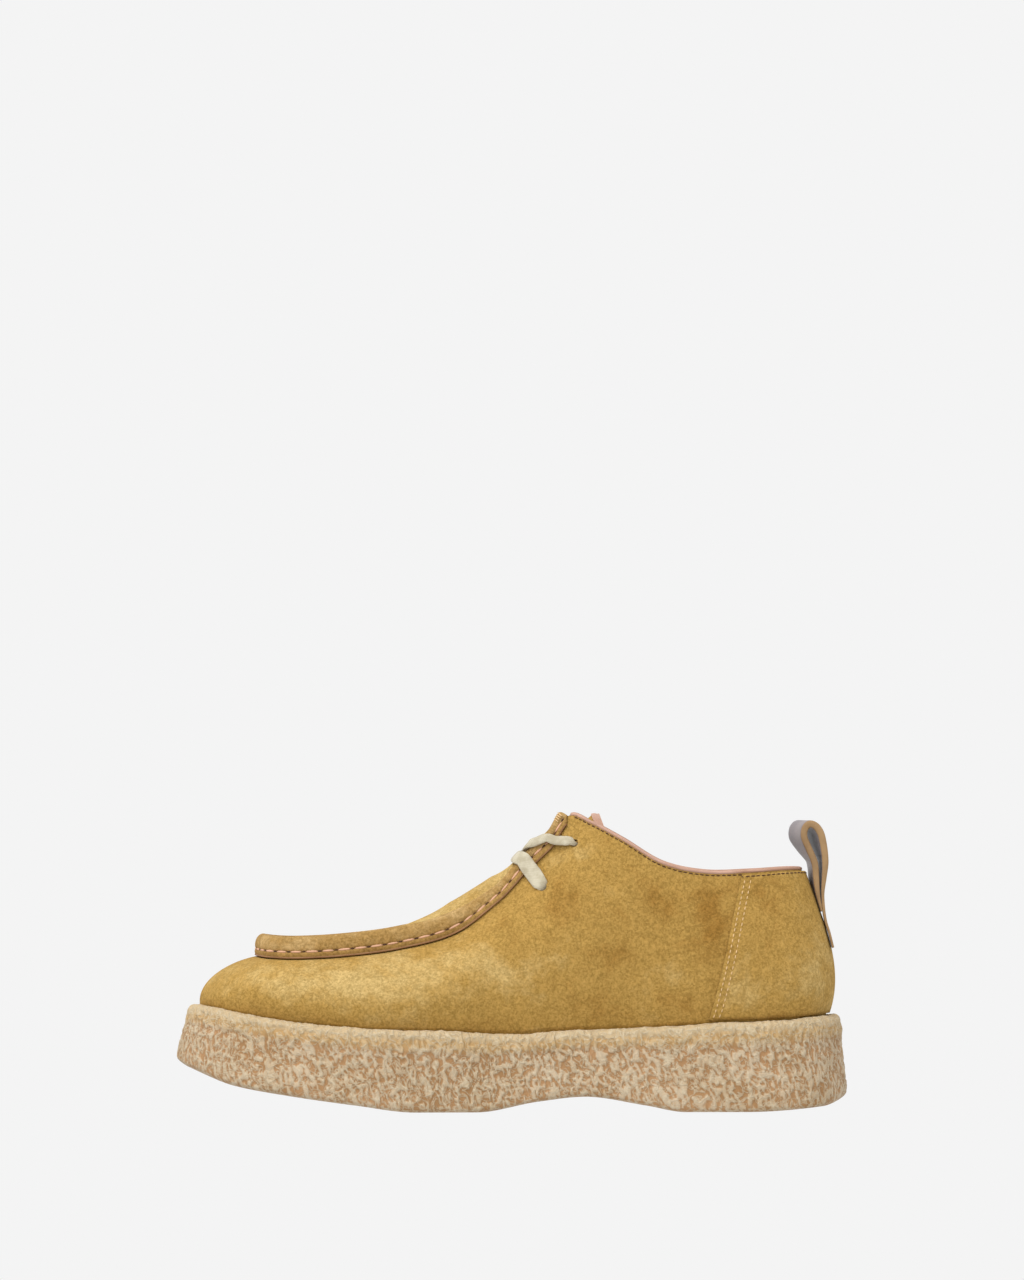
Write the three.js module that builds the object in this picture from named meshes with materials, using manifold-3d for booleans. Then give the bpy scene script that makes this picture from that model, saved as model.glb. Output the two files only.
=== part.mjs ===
// Low laced moccasin shoe on a thick crepe platform sole: a left shoe.
// Millimetres, +Z up, toe towards -X, outer side of the foot towards -Y.
// The origin is on the floor, under the middle of the shoe.
import * as THREE from "three";
import { mergeVertices } from "three/addons/utils/BufferGeometryUtils.js";
import Module from "manifold-3d";

const wasm = await Module();
wasm.setup();

// Driving sizes
const soleLength = 301;
const soleWidth = 114;
const platform = 35.6;
const toeSpring = 22;
const archLift = 6.9;
const heelSpring = 6.5;
const flare = 3.8;
const footRound = 5;
const lipRound = 2.4;
const ledgeToe = 6.3;
const ledgeHeel = 5.5;
const instepHeight = 98;
const wall = 2;
const clearance = 0.35;
const seamRise = 10.2;
const seamWidth = 6.3;
const tabRoll = 4.6;
const tabFlange = 4;
const stripThickness = 1.2;
const counterWall = 1.2;
const counterMargin = 1.2;
const pipingRadius = 0.9;
const insoleWall = 3;
const tongueWall = 2;
const eyeletRadius = 1.9;
const laceWidth = 6.5;
const laceThickness = 1.3;
const loopWidth = 20;
const loopThickness = 2.1;
const loopHeight = 22;
const loopTwist = 5.5;

// Height of the platform along its length, from the toe (0) to the heel (1). The next three columns
// are shares of toeSpring, archLift and heelSpring, and thick is a share of platform.
const heights = [
  { along: 0, toe: 1, arch: 0, heel: 0, thick: 0.69 },
  { along: 0.035, toe: 0.8, arch: 0, heel: 0, thick: 0.842 },
  { along: 0.085, toe: 0.54, arch: 0, heel: 0, thick: 0.933 },
  { along: 0.17, toe: 0.33, arch: 0, heel: 0, thick: 0.941 },
  { along: 0.267, toe: 0.145, arch: 0, heel: 0, thick: 0.975 },
  { along: 0.357, toe: 0, arch: 0, heel: 0, thick: 1.034 },
  { along: 0.447, toe: 0, arch: 0, heel: 0, thick: 1 },
  { along: 0.54, toe: 0, arch: 0.69, heel: 0, thick: 0.862 },
  { along: 0.61, toe: 0, arch: 1, heel: 0, thick: 0.842 },
  { along: 0.7, toe: 0, arch: 0.43, heel: 0, thick: 0.984 },
  { along: 0.76, toe: 0, arch: 0, heel: 0, thick: 1.093 },
  { along: 0.85, toe: 0, arch: 0, heel: 0, thick: 1.135 },
  { along: 0.965, toe: 0, arch: 0, heel: 0.37, thick: 1.138 },
  { along: 1, toe: 0, arch: 0, heel: 1, thick: 1.045 },
];

// Ribs of the shoe from the heel to the toe. Each row is one rib on both sides of the shoe.
// along, outer, inner: plan of the platform, as shares of soleLength and half of soleWidth.
// top, half, lean, rise: the upper's edge, as shares of soleLength, half of soleWidth (twice)
// and instepHeight above the platform. lowOut, topOut: swell of the rib, as shares of half of
// soleWidth. lowUp, topDown: where the swell sits, as shares of the rib's own height.
// crown: height of the apron's middle line above its foot, as a share of instepHeight.
const ribs = [
  { along: 1, outer: 0, inner: 0, top: 0.933, half: 0, lean: 0, rise: 0.677,
    lowOut: 0.14, lowUp: 0.33, topOut: 0.14, topDown: 0.34, crown: 0 },
  { along: 0.984, outer: 0.335, inner: 0.33, top: 0.93, half: 0.17, lean: 0, rise: 0.681,
    lowOut: 0.14, lowUp: 0.33, topOut: 0.135, topDown: 0.34, crown: 0 },
  { along: 0.945, outer: 0.57, inner: 0.56, top: 0.907, half: 0.325, lean: 0, rise: 0.686,
    lowOut: 0.13, lowUp: 0.33, topOut: 0.125, topDown: 0.34, crown: 0 },
  { along: 0.88, outer: 0.69, inner: 0.67, top: 0.859, half: 0.455, lean: 0, rise: 0.683,
    lowOut: 0.1, lowUp: 0.33, topOut: 0.09, topDown: 0.33, crown: 0 },
  { along: 0.8, outer: 0.735, inner: 0.7, top: 0.789, half: 0.535, lean: 0, rise: 0.687,
    lowOut: 0.09, lowUp: 0.33, topOut: 0.07, topDown: 0.33, crown: 0 },
  { along: 0.71, outer: 0.745, inner: 0.685, top: 0.726, half: 0.56, lean: 0, rise: 0.741,
    lowOut: 0.1, lowUp: 0.33, topOut: 0.09, topDown: 0.33, crown: 0 },
  { along: 0.635, outer: 0.75, inner: 0.67, top: 0.666, half: 0.525, lean: 0, rise: 0.858,
    lowOut: 0.12, lowUp: 0.33, topOut: 0.15, topDown: 0.32, crown: 0 },
  { along: 0.575, outer: 0.77, inner: 0.67, top: 0.617, half: 0.42, lean: 0, rise: 0.944,
    lowOut: 0.13, lowUp: 0.33, topOut: 0.21, topDown: 0.3, crown: 0 },
  { along: 0.53, outer: 0.805, inner: 0.685, top: 0.586, half: 0.31, lean: 0, rise: 0.981,
    lowOut: 0.14, lowUp: 0.33, topOut: 0.25, topDown: 0.3, crown: 0 },
  { along: 0.49, outer: 0.84, inner: 0.715, top: 0.564, half: 0.285, lean: 0, rise: 0.889,
    lowOut: 0.14, lowUp: 0.33, topOut: 0.24, topDown: 0.3, crown: 0 },
  { along: 0.45, outer: 0.88, inner: 0.76, top: 0.521, half: 0.295, lean: 0, rise: 0.768,
    lowOut: 0.15, lowUp: 0.34, topOut: 0.23, topDown: 0.3, crown: 0.058 },
  { along: 0.405, outer: 0.925, inner: 0.82, top: 0.479, half: 0.34, lean: 0, rise: 0.615,
    lowOut: 0.15, lowUp: 0.36, topOut: 0.23, topDown: 0.28, crown: 0.09 },
  { along: 0.35, outer: 0.97, inner: 0.9, top: 0.42, half: 0.425, lean: 0.01, rise: 0.45,
    lowOut: 0.15, lowUp: 0.38, topOut: 0.23, topDown: 0.24, crown: 0.086 },
  { along: 0.29, outer: 1, inner: 0.97, top: 0.334, half: 0.51, lean: 0.02, rise: 0.366,
    lowOut: 0.14, lowUp: 0.42, topOut: 0.22, topDown: 0.2, crown: 0.036 },
  { along: 0.22, outer: 0.98, inner: 1, top: 0.241, half: 0.565, lean: 0.035, rise: 0.313,
    lowOut: 0.13, lowUp: 0.45, topOut: 0.22, topDown: 0.15, crown: 0.014 },
  { along: 0.145, outer: 0.88, inner: 0.97, top: 0.174, half: 0.535, lean: 0.05, rise: 0.282,
    lowOut: 0.11, lowUp: 0.48, topOut: 0.22, topDown: 0.12, crown: 0.008 },
  { along: 0.08, outer: 0.7, inner: 0.84, top: 0.139, half: 0.41, lean: 0.07, rise: 0.27,
    lowOut: 0.08, lowUp: 0.5, topOut: 0.21, topDown: 0.1, crown: 0.006 },
  { along: 0.028, outer: 0.41, inner: 0.56, top: 0.123, half: 0.22, lean: 0.085, rise: 0.268,
    lowOut: 0.04, lowUp: 0.5, topOut: 0.21, topDown: 0.1, crown: 0.003 },
  { along: 0, outer: -0.1, inner: 0.1, top: 0.118, half: 0, lean: 0.09, rise: 0.269,
    lowOut: 0.026, lowUp: 0.5, topOut: 0.21, topDown: 0.1, crown: 0 },
];

// Where things start on the ribs, in row numbers of the table above
const toeRow = ribs.length - 1;
const tabRow = 8;
const plugRow = 10 + 1 / 3;
const counterLowRow = 4.05;
const counterTopRow = 3.25;
// The edge turns a corner at the tab. What is sewn along it keeps the direction of these rows there.
const throatGuideRow = 8.9;
const collarGuideRow = 7.3;
const pipingRow = 7.75;
// The seam turns from a flat strip beside the throat to a standing roll between these rows
const flatUntilRow = 10.2;
const standsFromRow = 12.2;
// Eyelets, a length down the rib from the edge of the quarter
const lowerEyelet = { row: 9.27, down: 21.6 };
const upperEyelet = { row: 7.72, down: 13.4 };

// Fineness of the facets
const stepsPerRow = 3;
const levels = 8;
const plugSteps = 6;

const halfWidth = soleWidth / 2;
const up = new THREE.Vector3(0, 0, 1);
const stations = 2 * toeRow * stepsPerRow;

// Cubic through the rows of a table that never swings past a row's value
function follow(rows, key, at) {
  const last = rows.length - 1;
  let i = 0;
  while (i < last - 1 && at > rows[i + 1].along) {
    i += 1;
  }
  const slope = (k) => (rows[k + 1][key] - rows[k][key]) / (rows[k + 1].along - rows[k].along);
  const tangent = (k) => {
    if (k === 0) {
      return slope(0);
    }
    if (k === last) {
      return slope(last - 1);
    }
    const before = slope(k - 1);
    const after = slope(k);
    return before * after <= 0 ? 0 : (2 * before * after) / (before + after);
  };
  const span = rows[i + 1].along - rows[i].along;
  const s = THREE.MathUtils.clamp((at - rows[i].along) / span, 0, 1);
  const s2 = s * s;
  const s3 = s2 * s;
  return (2 * s3 - 3 * s2 + 1) * rows[i][key] + (s3 - 2 * s2 + s) * span * tangent(i)
    + (3 * s2 - 2 * s3) * rows[i + 1][key] + (s3 - s2) * span * tangent(i + 1);
}

// Underside and top of the platform at a place along the shoe
function underAt(x) {
  const at = x / soleLength + 0.5;
  return toeSpring * follow(heights, "toe", at) + archLift * follow(heights, "arch", at)
    + heelSpring * follow(heights, "heel", at);
}

function topAt(x) {
  return underAt(x) + platform * follow(heights, "thick", x / soleLength + 0.5);
}

const lengthwise = (share) => (share - 0.5) * soleLength;

// One closed loop of points round the shoe: outer side from heel to toe, then back on the inner side
function loopOf(pointOf) {
  const outerSide = ribs.map((rib) => pointOf(rib, -1));
  const innerSide = ribs.slice(1, toeRow).reverse().map((rib) => pointOf(rib, 1));
  return new THREE.CatmullRomCurve3([...outerSide, ...innerSide], true, "centripetal");
}

const planLoop = loopOf((rib, side) => new THREE.Vector3(
  lengthwise(rib.along),
  side * halfWidth * (side < 0 ? rib.outer : rib.inner),
  0,
));

const wrapTurn = (turn) => turn - Math.floor(turn);

// Plan of the platform, pulled in by a distance
function plan(turn, inset) {
  const point = planLoop.getPoint(wrapTurn(turn));
  const ahead = planLoop.getPoint(wrapTurn(turn + 1e-4));
  const behind = planLoop.getPoint(wrapTurn(turn - 1e-4));
  const along = ahead.sub(behind).normalize();
  const outward = new THREE.Vector3(along.y, -along.x, 0);
  if (outward.dot(point) < 0) {
    outward.negate();
  }
  return { point: point.addScaledVector(outward, -inset), outward };
}

const turnOfRow = (row) => row / (2 * toeRow);
const rowOfTurn = (turn) => toeRow - Math.abs(wrapTurn(turn) * 2 * toeRow - toeRow);
const ledgeAt = (x) => THREE.MathUtils.mapLinear(x, -soleLength / 2, soleLength / 2, ledgeToe, ledgeHeel);

// Foot of each rib on the platform, its upper end, and the two handles that swell it
function ribEnds(rib, side) {
  const turn = turnOfRow(side < 0 ? ribs.indexOf(rib) : 2 * toeRow - ribs.indexOf(rib));
  const { outward } = plan(turn, 0);
  const foot = plan(turn, flare + ledgeAt(lengthwise(rib.along))).point;
  foot.z = topAt(foot.x) + clearance;
  const x = lengthwise(rib.top);
  const edge = new THREE.Vector3(
    x,
    (side * rib.half + rib.lean) * halfWidth,
    topAt(x) + rib.rise * instepHeight,
  );
  const height = edge.z - foot.z;
  const low = foot.clone().addScaledVector(outward, rib.lowOut * halfWidth);
  low.z += rib.lowUp * height;
  const high = edge.clone().addScaledVector(outward, rib.topOut * halfWidth);
  high.z -= rib.topDown * height;
  return { foot, low, high, edge };
}

const footLoop = loopOf((rib, side) => ribEnds(rib, side).foot);
const lowLoop = loopOf((rib, side) => ribEnds(rib, side).low);
const highLoop = loopOf((rib, side) => ribEnds(rib, side).high);
const edgeLoop = loopOf((rib, side) => ribEnds(rib, side).edge);

// Outer face of the suede wrap: turn goes round the shoe, level from the platform (0) to the edge (1)
function wrapPoint(turn, level) {
  const at = wrapTurn(turn);
  const rest = 1 - level;
  const point = footLoop.getPoint(at).multiplyScalar(rest ** 3);
  point.addScaledVector(lowLoop.getPoint(at), 3 * rest * rest * level);
  point.addScaledVector(highLoop.getPoint(at), 3 * rest * level * level);
  return point.addScaledVector(edgeLoop.getPoint(at), level ** 3);
}

function wrapNormal(turn, level) {
  const low = Math.min(level, 0.999);
  const around = wrapPoint(turn + 1e-4, level).sub(wrapPoint(turn - 1e-4, level));
  const rise = wrapPoint(turn, low + 1e-3).sub(wrapPoint(turn, low));
  return rise.cross(around).normalize();
}

function onWrap(turn, level, out) {
  return wrapPoint(turn, level).addScaledVector(wrapNormal(turn, level), out);
}

// Level of the point that lies a length down the rib from its edge
function levelBelow(turn, length) {
  let level = 1;
  let gone = 0;
  const step = 0.01;
  while (gone < length && level > step) {
    gone += wrapPoint(turn, level).distanceTo(wrapPoint(turn, level - step));
    level -= step;
  }
  return level;
}

// Frame at the edge: forward along it, rise away from the rib, out away from the foot.
// vamp is 1 round the apron, where the seam stands up, and 0 beside the throat, where it lies flat.
// guide is the turn that gives the directions, where that isn't the turn itself.
function edgeFrame(turn, guide = turn) {
  const edge = edgeLoop.getPoint(wrapTurn(turn));
  const ahead = edgeLoop.getPoint(wrapTurn(guide + 2e-3));
  const along = ahead.sub(edgeLoop.getPoint(wrapTurn(guide - 2e-3))).normalize();
  const ribEnd = wrapPoint(guide, 1).sub(wrapPoint(guide, 0.97)).normalize();
  const flat = ribEnd.addScaledVector(along, -ribEnd.dot(along)).normalize();
  const standing = up.clone().addScaledVector(along, -up.dot(along)).normalize();
  const vamp = THREE.MathUtils.smoothstep(rowOfTurn(turn), flatUntilRow, standsFromRow);
  const rise = flat.lerp(standing, vamp).normalize();
  const out = rise.clone().cross(along).normalize();
  return { edge, along, rise, out, vamp };
}

const inFrame = (frame, out, rise) => frame.edge.clone()
  .addScaledVector(frame.out, out)
  .addScaledVector(frame.rise, rise);

// Surface as a list of points and triangles
class Surface {
  constructor() {
    this.points = [];
    this.triangles = [];
  }

  add(point) {
    this.points.push(point);
    return this.points.length - 1;
  }

  triangle(a, b, c) {
    if (a !== b && b !== c && c !== a) {
      this.triangles.push([a, b, c]);
    }
  }

  quad(a, b, c, d) {
    this.triangle(a, b, c);
    this.triangle(a, c, d);
  }

  // Rows of equal length, joined each to the next
  rows(rows) {
    for (let i = 0; i + 1 < rows.length; i += 1) {
      for (let k = 0; k + 1 < rows[i].length; k += 1) {
        this.quad(rows[i][k], rows[i][k + 1], rows[i + 1][k + 1], rows[i + 1][k]);
      }
    }
  }

  normals() {
    const sums = this.points.map(() => new THREE.Vector3());
    for (const [a, b, c] of this.triangles) {
      const ab = this.points[b].clone().sub(this.points[a]);
      const ac = this.points[c].clone().sub(this.points[a]);
      const face = ab.cross(ac);
      sums[a].add(face);
      sums[b].add(face);
      sums[c].add(face);
    }
    return sums.map((sum) => sum.normalize());
  }

  moved(distance) {
    const copy = new Surface();
    const normals = this.normals();
    copy.points = this.points.map((point, i) => point.clone().addScaledVector(normals[i], distance));
    copy.triangles = this.triangles;
    return copy;
  }

  // Closed wall between this surface and the one a thickness behind it
  thickened(thickness) {
    const solid = new Surface();
    const inner = this.moved(-thickness);
    const count = this.points.length;
    solid.points = [...this.points, ...inner.points];
    const edges = new Set(this.triangles.flatMap(([a, b, c]) => [`${a} ${b}`, `${b} ${c}`, `${c} ${a}`]));
    for (const [a, b, c] of this.triangles) {
      solid.triangle(a, b, c);
      solid.triangle(a + count, c + count, b + count);
      for (const [from, to] of [[a, b], [b, c], [c, a]]) {
        if (!edges.has(`${to} ${from}`)) {
          solid.quad(to, from, from + count, to + count);
        }
      }
    }
    return solid;
  }

  geometry() {
    const geometry = new THREE.BufferGeometry();
    const flat = this.points.flatMap((point) => [point.x, point.y, point.z]);
    geometry.setAttribute("position", new THREE.Float32BufferAttribute(flat, 3));
    geometry.setIndex(this.triangles.flat());
    return facingOut(geometry);
  }
}

// Turns a closed shape right side out
function facingOut(geometry) {
  const index = geometry.index.array;
  const at = geometry.attributes.position;
  const corners = [0, 1, 2].map(() => new THREE.Vector3());
  let volume = 0;
  for (let i = 0; i < index.length; i += 3) {
    corners.forEach((corner, k) => corner.fromBufferAttribute(at, index[i + k]));
    volume += corners[0].dot(corners[1].clone().cross(corners[2]));
  }
  if (volume < 0) {
    const turned = Array.from(index);
    for (let i = 0; i < turned.length; i += 3) {
      [turned[i + 1], turned[i + 2]] = [turned[i + 2], turned[i + 1]];
    }
    geometry.setIndex(turned);
  }
  return geometry;
}

// Solids for joining and cutting
function solidOf(geometry) {
  const bare = geometry.clone();
  bare.deleteAttribute("normal");
  bare.deleteAttribute("uv");
  const merged = mergeVertices(bare, 1e-4);
  return new wasm.Manifold(new wasm.Mesh({
    numProp: 3,
    vertProperties: new Float32Array(merged.attributes.position.array),
    triVerts: new Uint32Array(merged.index.array),
  }));
}

function geometryOf(solid) {
  const mesh = solid.getMesh();
  const geometry = new THREE.BufferGeometry();
  geometry.setAttribute("position", new THREE.Float32BufferAttribute(mesh.vertProperties, 3));
  geometry.setIndex(Array.from(mesh.triVerts));
  return geometry;
}

// The largest piece of a cut solid, without the crumbs of the cut
function mainBody(solid) {
  return solid.decompose().sort((a, b) => b.volume() - a.volume())[0];
}

// Closed rings of equal length, joined each to the next and capped at both ends
function sweep(rings, capTriangles) {
  const surface = new Surface();
  const rows = rings.map((ring) => {
    const row = ring.map((point) => surface.add(point));
    return [...row, row[0]];
  });
  surface.rows(rows);
  const first = rows[0];
  const last = rows[rows.length - 1];
  for (const [a, b, c] of capTriangles) {
    surface.triangle(first[a], first[c], first[b]);
    surface.triangle(last[a], last[b], last[c]);
  }
  return surface.geometry();
}

const fan = (count) => Array.from({ length: count - 2 }, (_, i) => [0, i + 1, i + 2]);

// Turns of the stations from one row on the outer side to the same row on the inner side
function turnsAcrossToe(fromRow) {
  const first = Math.round(fromRow * stepsPerRow);
  const count = stations - 2 * first;
  return Array.from({ length: count + 1 }, (_, i) => (first + i) / stations);
}

// Crepe platform: rings up its side, from the rounded foot to the rounded lip
function outsole() {
  const rings = [
    { inset: footRound, rise: 0, add: 0 },
    { inset: footRound * 0.3, rise: 0, add: footRound * 0.4 },
    { inset: 0, rise: 0.16, add: 0 },
    { inset: flare * 0.45, rise: 0.55, add: 0 },
    { inset: flare, rise: 1, add: -lipRound },
    { inset: flare + lipRound * 0.3, rise: 1, add: -lipRound * 0.3 },
    { inset: flare + lipRound, rise: 1, add: 0 },
  ];
  const surface = new Surface();
  const loops = rings.map((ring) => Array.from({ length: stations }, (_, i) => {
    const { point } = plan(i / stations, ring.inset);
    const under = underAt(point.x);
    point.z = under + ring.rise * (topAt(point.x) - under) + ring.add;
    return surface.add(point);
  }));
  surface.rows(loops.map((loop) => [...loop, loop[0]]));
  for (const [loop, below] of [[loops[0], true], [loops[loops.length - 1], false]]) {
    for (let i = 0; i < stations / 2; i += 1) {
      const near = loop[i];
      const far = loop[(stations - i) % stations];
      const nextNear = loop[i + 1];
      const nextFar = loop[stations - i - 1];
      if (below) {
        surface.quad(near, far, nextFar, nextNear);
      } else {
        surface.quad(near, nextNear, nextFar, far);
      }
    }
  }
  return surface.geometry();
}

// Apron plug inside its seam: a step up, then a crowned sheet across to the other side
const plugFoot = [
  { out: -0.4, rise: 0.27 },
  { out: -1, rise: 0.58 },
];

function upperFace() {
  const surface = new Surface();
  const grid = Array.from({ length: stations }, (_, i) => (
    Array.from({ length: levels + 1 }, (_, j) => surface.add(wrapPoint(i / stations, j / levels)))
  ));
  surface.rows([...grid, grid[0]]);
  const footRow = (i) => {
    const frame = edgeFrame(i / stations);
    return plugFoot.map((foot) => inFrame(frame, foot.out * seamWidth, foot.rise * seamRise));
  };
  const plugRows = [];
  for (let i = Math.round(plugRow * stepsPerRow); i < stations / 2; i += 1) {
    const near = footRow(i);
    const far = footRow(stations - i);
    const crown = instepHeight * crownAt(i / stepsPerRow);
    const row = [grid[i][levels], ...near.map((point) => surface.add(point))];
    for (let k = 1; k < plugSteps; k += 1) {
      const share = k / plugSteps;
      const point = near[1].clone().lerp(far[1], share);
      point.z += crown * 4 * share * (1 - share);
      row.push(surface.add(point));
    }
    row.push(...far.reverse().map((point) => surface.add(point)), grid[stations - i][levels]);
    plugRows.push(row);
  }
  const [low, high] = footRow(stations / 2).map((point) => surface.add(point));
  const middle = Array(plugSteps + 1).fill(high);
  const tip = grid[stations / 2][levels];
  plugRows.push([tip, low, ...middle, low, tip]);
  surface.rows(plugRows);
  return surface;
}

function crownAt(row) {
  const low = Math.min(Math.floor(row), toeRow - 1);
  return THREE.MathUtils.lerp(ribs[low].crown, ribs[low + 1].crown, row - low);
}

const face = upperFace();
const cutter = solidOf(face.moved(clearance).thickened(wall + 2 * clearance).geometry());

const eyelets = [lowerEyelet, upperEyelet].flatMap(({ row, down }) => [row, 2 * toeRow - row].map((at) => {
  const turn = turnOfRow(at);
  const level = levelBelow(turn, down);
  return { point: wrapPoint(turn, level), normal: wrapNormal(turn, level) };
}));

function upper() {
  let solid = solidOf(face.thickened(wall).geometry());
  for (const { point, normal } of eyelets) {
    const hole = new THREE.CylinderGeometry(eyeletRadius, eyeletRadius, 6 * wall, 10);
    hole.applyQuaternion(new THREE.Quaternion().setFromUnitVectors(new THREE.Vector3(0, 1, 0), normal));
    hole.translate(point.x, point.y, point.z);
    solid = solid.subtract(solidOf(hole));
  }
  return geometryOf(solid);
}

// Section of the raised seam, as places out from the edge and up from it. Beside the throat the
// same points make a flat strip: a flange on the quarter and a soft roll past its edge.
const rollGap = clearance + 0.1;
const seamSection = [
  { out: 0.03, rise: 0.05, flatOut: clearance, flatRise: -tabFlange },
  { out: 0.05, rise: 0.35, flatOut: clearance + stripThickness, flatRise: -tabFlange },
  { out: 0, rise: 0.68, flatOut: clearance + stripThickness * 1.2, flatRise: 0 },
  { out: -0.18, rise: 0.91, flatOut: stripThickness * 1.8, flatRise: tabRoll * 0.35 },
  { out: -0.52, rise: 1, flatOut: stripThickness * 1.5, flatRise: tabRoll * 0.8 },
  { out: -0.86, rise: 0.87, flatOut: -stripThickness * 0.4, flatRise: tabRoll },
  { out: -0.99, rise: 0.63, flatOut: -wall * 0.8, flatRise: rollGap },
  { out: -0.39, rise: 0.32, flatOut: clearance, flatRise: rollGap },
];

// The turn itself, or the nearest turn whose row lies between two rows
function heldTurn(turn, fromRow, toRow) {
  const row = THREE.MathUtils.clamp(rowOfTurn(turn), fromRow, toRow);
  return wrapTurn(turn) <= 0.5 ? turnOfRow(row) : turnOfRow(2 * toeRow - row);
}

function seamRing(turn) {
  const frame = edgeFrame(turn, heldTurn(turn, throatGuideRow, toeRow));
  return seamSection.map((place) => {
    const standing = inFrame(frame, place.out * seamWidth, place.rise * seamRise);
    const onRib = place.flatRise < 0
      ? onWrap(turn, levelBelow(turn, -place.flatRise), place.flatOut)
      : inFrame(frame, place.flatOut, place.flatRise);
    return onRib.lerp(standing, frame.vamp);
  });
}

function apronSeam() {
  const rings = turnsAcrossToe(tabRow).map(seamRing);
  const outline = seamSection.map((place) => new THREE.Vector2(place.flatOut, place.flatRise));
  const caps = THREE.ShapeUtils.triangulateShape(outline, []);
  const solid = solidOf(sweep(rings, caps)).subtract(cutter);
  return geometryOf(mainBody(solid));
}

// Heel panel over the quarters, from one front edge round the back to the other
const counterFoot = 0.02;

function counter() {
  const across = 2 * Math.round(counterLowRow * stepsPerRow);
  const surface = new Surface();
  const rows = Array.from({ length: across + 1 }, (_, i) => (
    Array.from({ length: levels + 1 }, (_, j) => {
      const share = (2 * i) / across - 1;
      const place = j / levels;
      const turn = share * turnOfRow(THREE.MathUtils.lerp(counterLowRow, counterTopRow, place));
      const top = levelBelow(turn, counterMargin);
      const level = THREE.MathUtils.lerp(counterFoot, top, place);
      return surface.add(onWrap(turn, level, clearance + counterWall));
    })
  ));
  surface.rows(rows);
  return surface.thickened(counterWall).geometry();
}

// Cord sewn along the collar, from tab to tab round the heel
function piping() {
  const steps = Math.round(2 * pipingRow * stepsPerRow);
  const sides = 6;
  const rings = Array.from({ length: steps + 1 }, (_, i) => {
    const turn = turnOfRow(pipingRow * ((2 * i) / steps - 1));
    const frame = edgeFrame(turn, heldTurn(turn, 0, collarGuideRow));
    const centre = inFrame(frame, -wall / 3, pipingRadius + clearance);
    return Array.from({ length: sides }, (_, k) => {
      const angle = ((k + 0.5) / sides) * 2 * Math.PI;
      return centre.clone()
        .addScaledVector(frame.out, Math.cos(angle) * pipingRadius)
        .addScaledVector(frame.rise, Math.sin(angle) * pipingRadius);
    });
  });
  return sweep(rings, fan(sides));
}

// Footbed inside the upper
function insole() {
  const surface = new Surface();
  const inset = (x) => flare + ledgeAt(x) + wall + 3 * clearance;
  const loops = [clearance, clearance + insoleWall].map((lift) => (
    Array.from({ length: stations }, (_, i) => {
      const near = plan(i / stations, 0).point;
      const { point } = plan(i / stations, inset(near.x));
      point.z = topAt(point.x) + lift;
      return surface.add(point);
    })
  ));
  surface.rows(loops.map((loop) => [...loop, loop[0]]));
  for (let i = 0; i < stations / 2; i += 1) {
    const far = (stations - i) % stations;
    surface.quad(loops[0][i], loops[0][far], loops[0][stations - i - 1], loops[0][i + 1]);
    surface.quad(loops[1][i], loops[1][i + 1], loops[1][stations - i - 1], loops[1][far]);
  }
  return surface.geometry();
}

// Tongue, from under the apron to its bound top. middle and rise place its crest as shares of
// soleLength and instepHeight above the platform, half and drop its side as shares of half of soleWidth.
// The side also lies back from the crest, by a share of its drop.
const tongueSlope = 0.4;
const tongueRows = [
  { middle: 0.425, rise: 0.505, half: 0.3, drop: 0.17 },
  { middle: 0.483, rise: 0.634, half: 0.33, drop: 0.22 },
  { middle: 0.527, rise: 0.765, half: 0.34, drop: 0.225 },
  { middle: 0.573, rise: 0.872, half: 0.35, drop: 0.215 },
  { middle: 0.604, rise: 0.94, half: 0.36, drop: 0.18 },
  { middle: 0.625, rise: 0.998, half: 0.33, drop: 0.12 },
];

function tongue() {
  const surface = new Surface();
  const across = 8;
  const rows = tongueRows.map((row) => Array.from({ length: across + 1 }, (_, k) => {
    const share = (2 * k) / across - 1;
    const x = lengthwise(row.middle);
    return surface.add(new THREE.Vector3(
      x + share * share * row.drop * halfWidth * tongueSlope,
      share * row.half * halfWidth,
      topAt(x) + row.rise * instepHeight - share * share * row.drop * halfWidth,
    ));
  }));
  surface.rows(rows);
  return geometryOf(mainBody(solidOf(surface.thickened(tongueWall).geometry()).subtract(cutter)));
}

// Flat band along a path of stops, each with a place and a direction for the band's width
function band(stops, width, thickness, stepsPerStop) {
  const path = new THREE.CatmullRomCurve3(stops.map((stop) => stop.at), false, "centripetal");
  const turns = new THREE.CatmullRomCurve3(stops.map((stop) => stop.across), false, "centripetal");
  const steps = (stops.length - 1) * stepsPerStop;
  const rings = Array.from({ length: steps + 1 }, (_, i) => {
    const at = path.getPoint(i / steps);
    const along = path.getTangent(i / steps);
    const across = turns.getPoint(i / steps);
    const side = across.addScaledVector(along, -across.dot(along)).normalize();
    const face = side.clone().cross(along);
    return [[-1, -1], [1, -1], [1, 1], [-1, 1]].map(([s, f]) => at.clone()
      .addScaledVector(side, (s * width) / 2)
      .addScaledVector(face, (f * thickness) / 2));
  });
  return sweep(rings, fan(4));
}

// Place by a rib: reach is a length past the upper's edge, or down from it where it is negative
function byEdge(row, side, reach, out) {
  const turn = turnOfRow(side < 0 ? row : 2 * toeRow - row);
  return reach < 0
    ? onWrap(turn, levelBelow(turn, -reach), out)
    : inFrame(edgeFrame(turn, heldTurn(turn, throatGuideRow, toeRow)), out, reach);
}

// Line of the throat seen from the side, and the way out of the shoe there
const throatLine = byEdge(9, -1, 0, 0).sub(byEdge(11, -1, 0, 0)).setY(0).normalize();
const throatOut = new THREE.Vector3(-throatLine.z, 0, throatLine.x);
const laceLift = clearance + laceThickness / 2;

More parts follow.
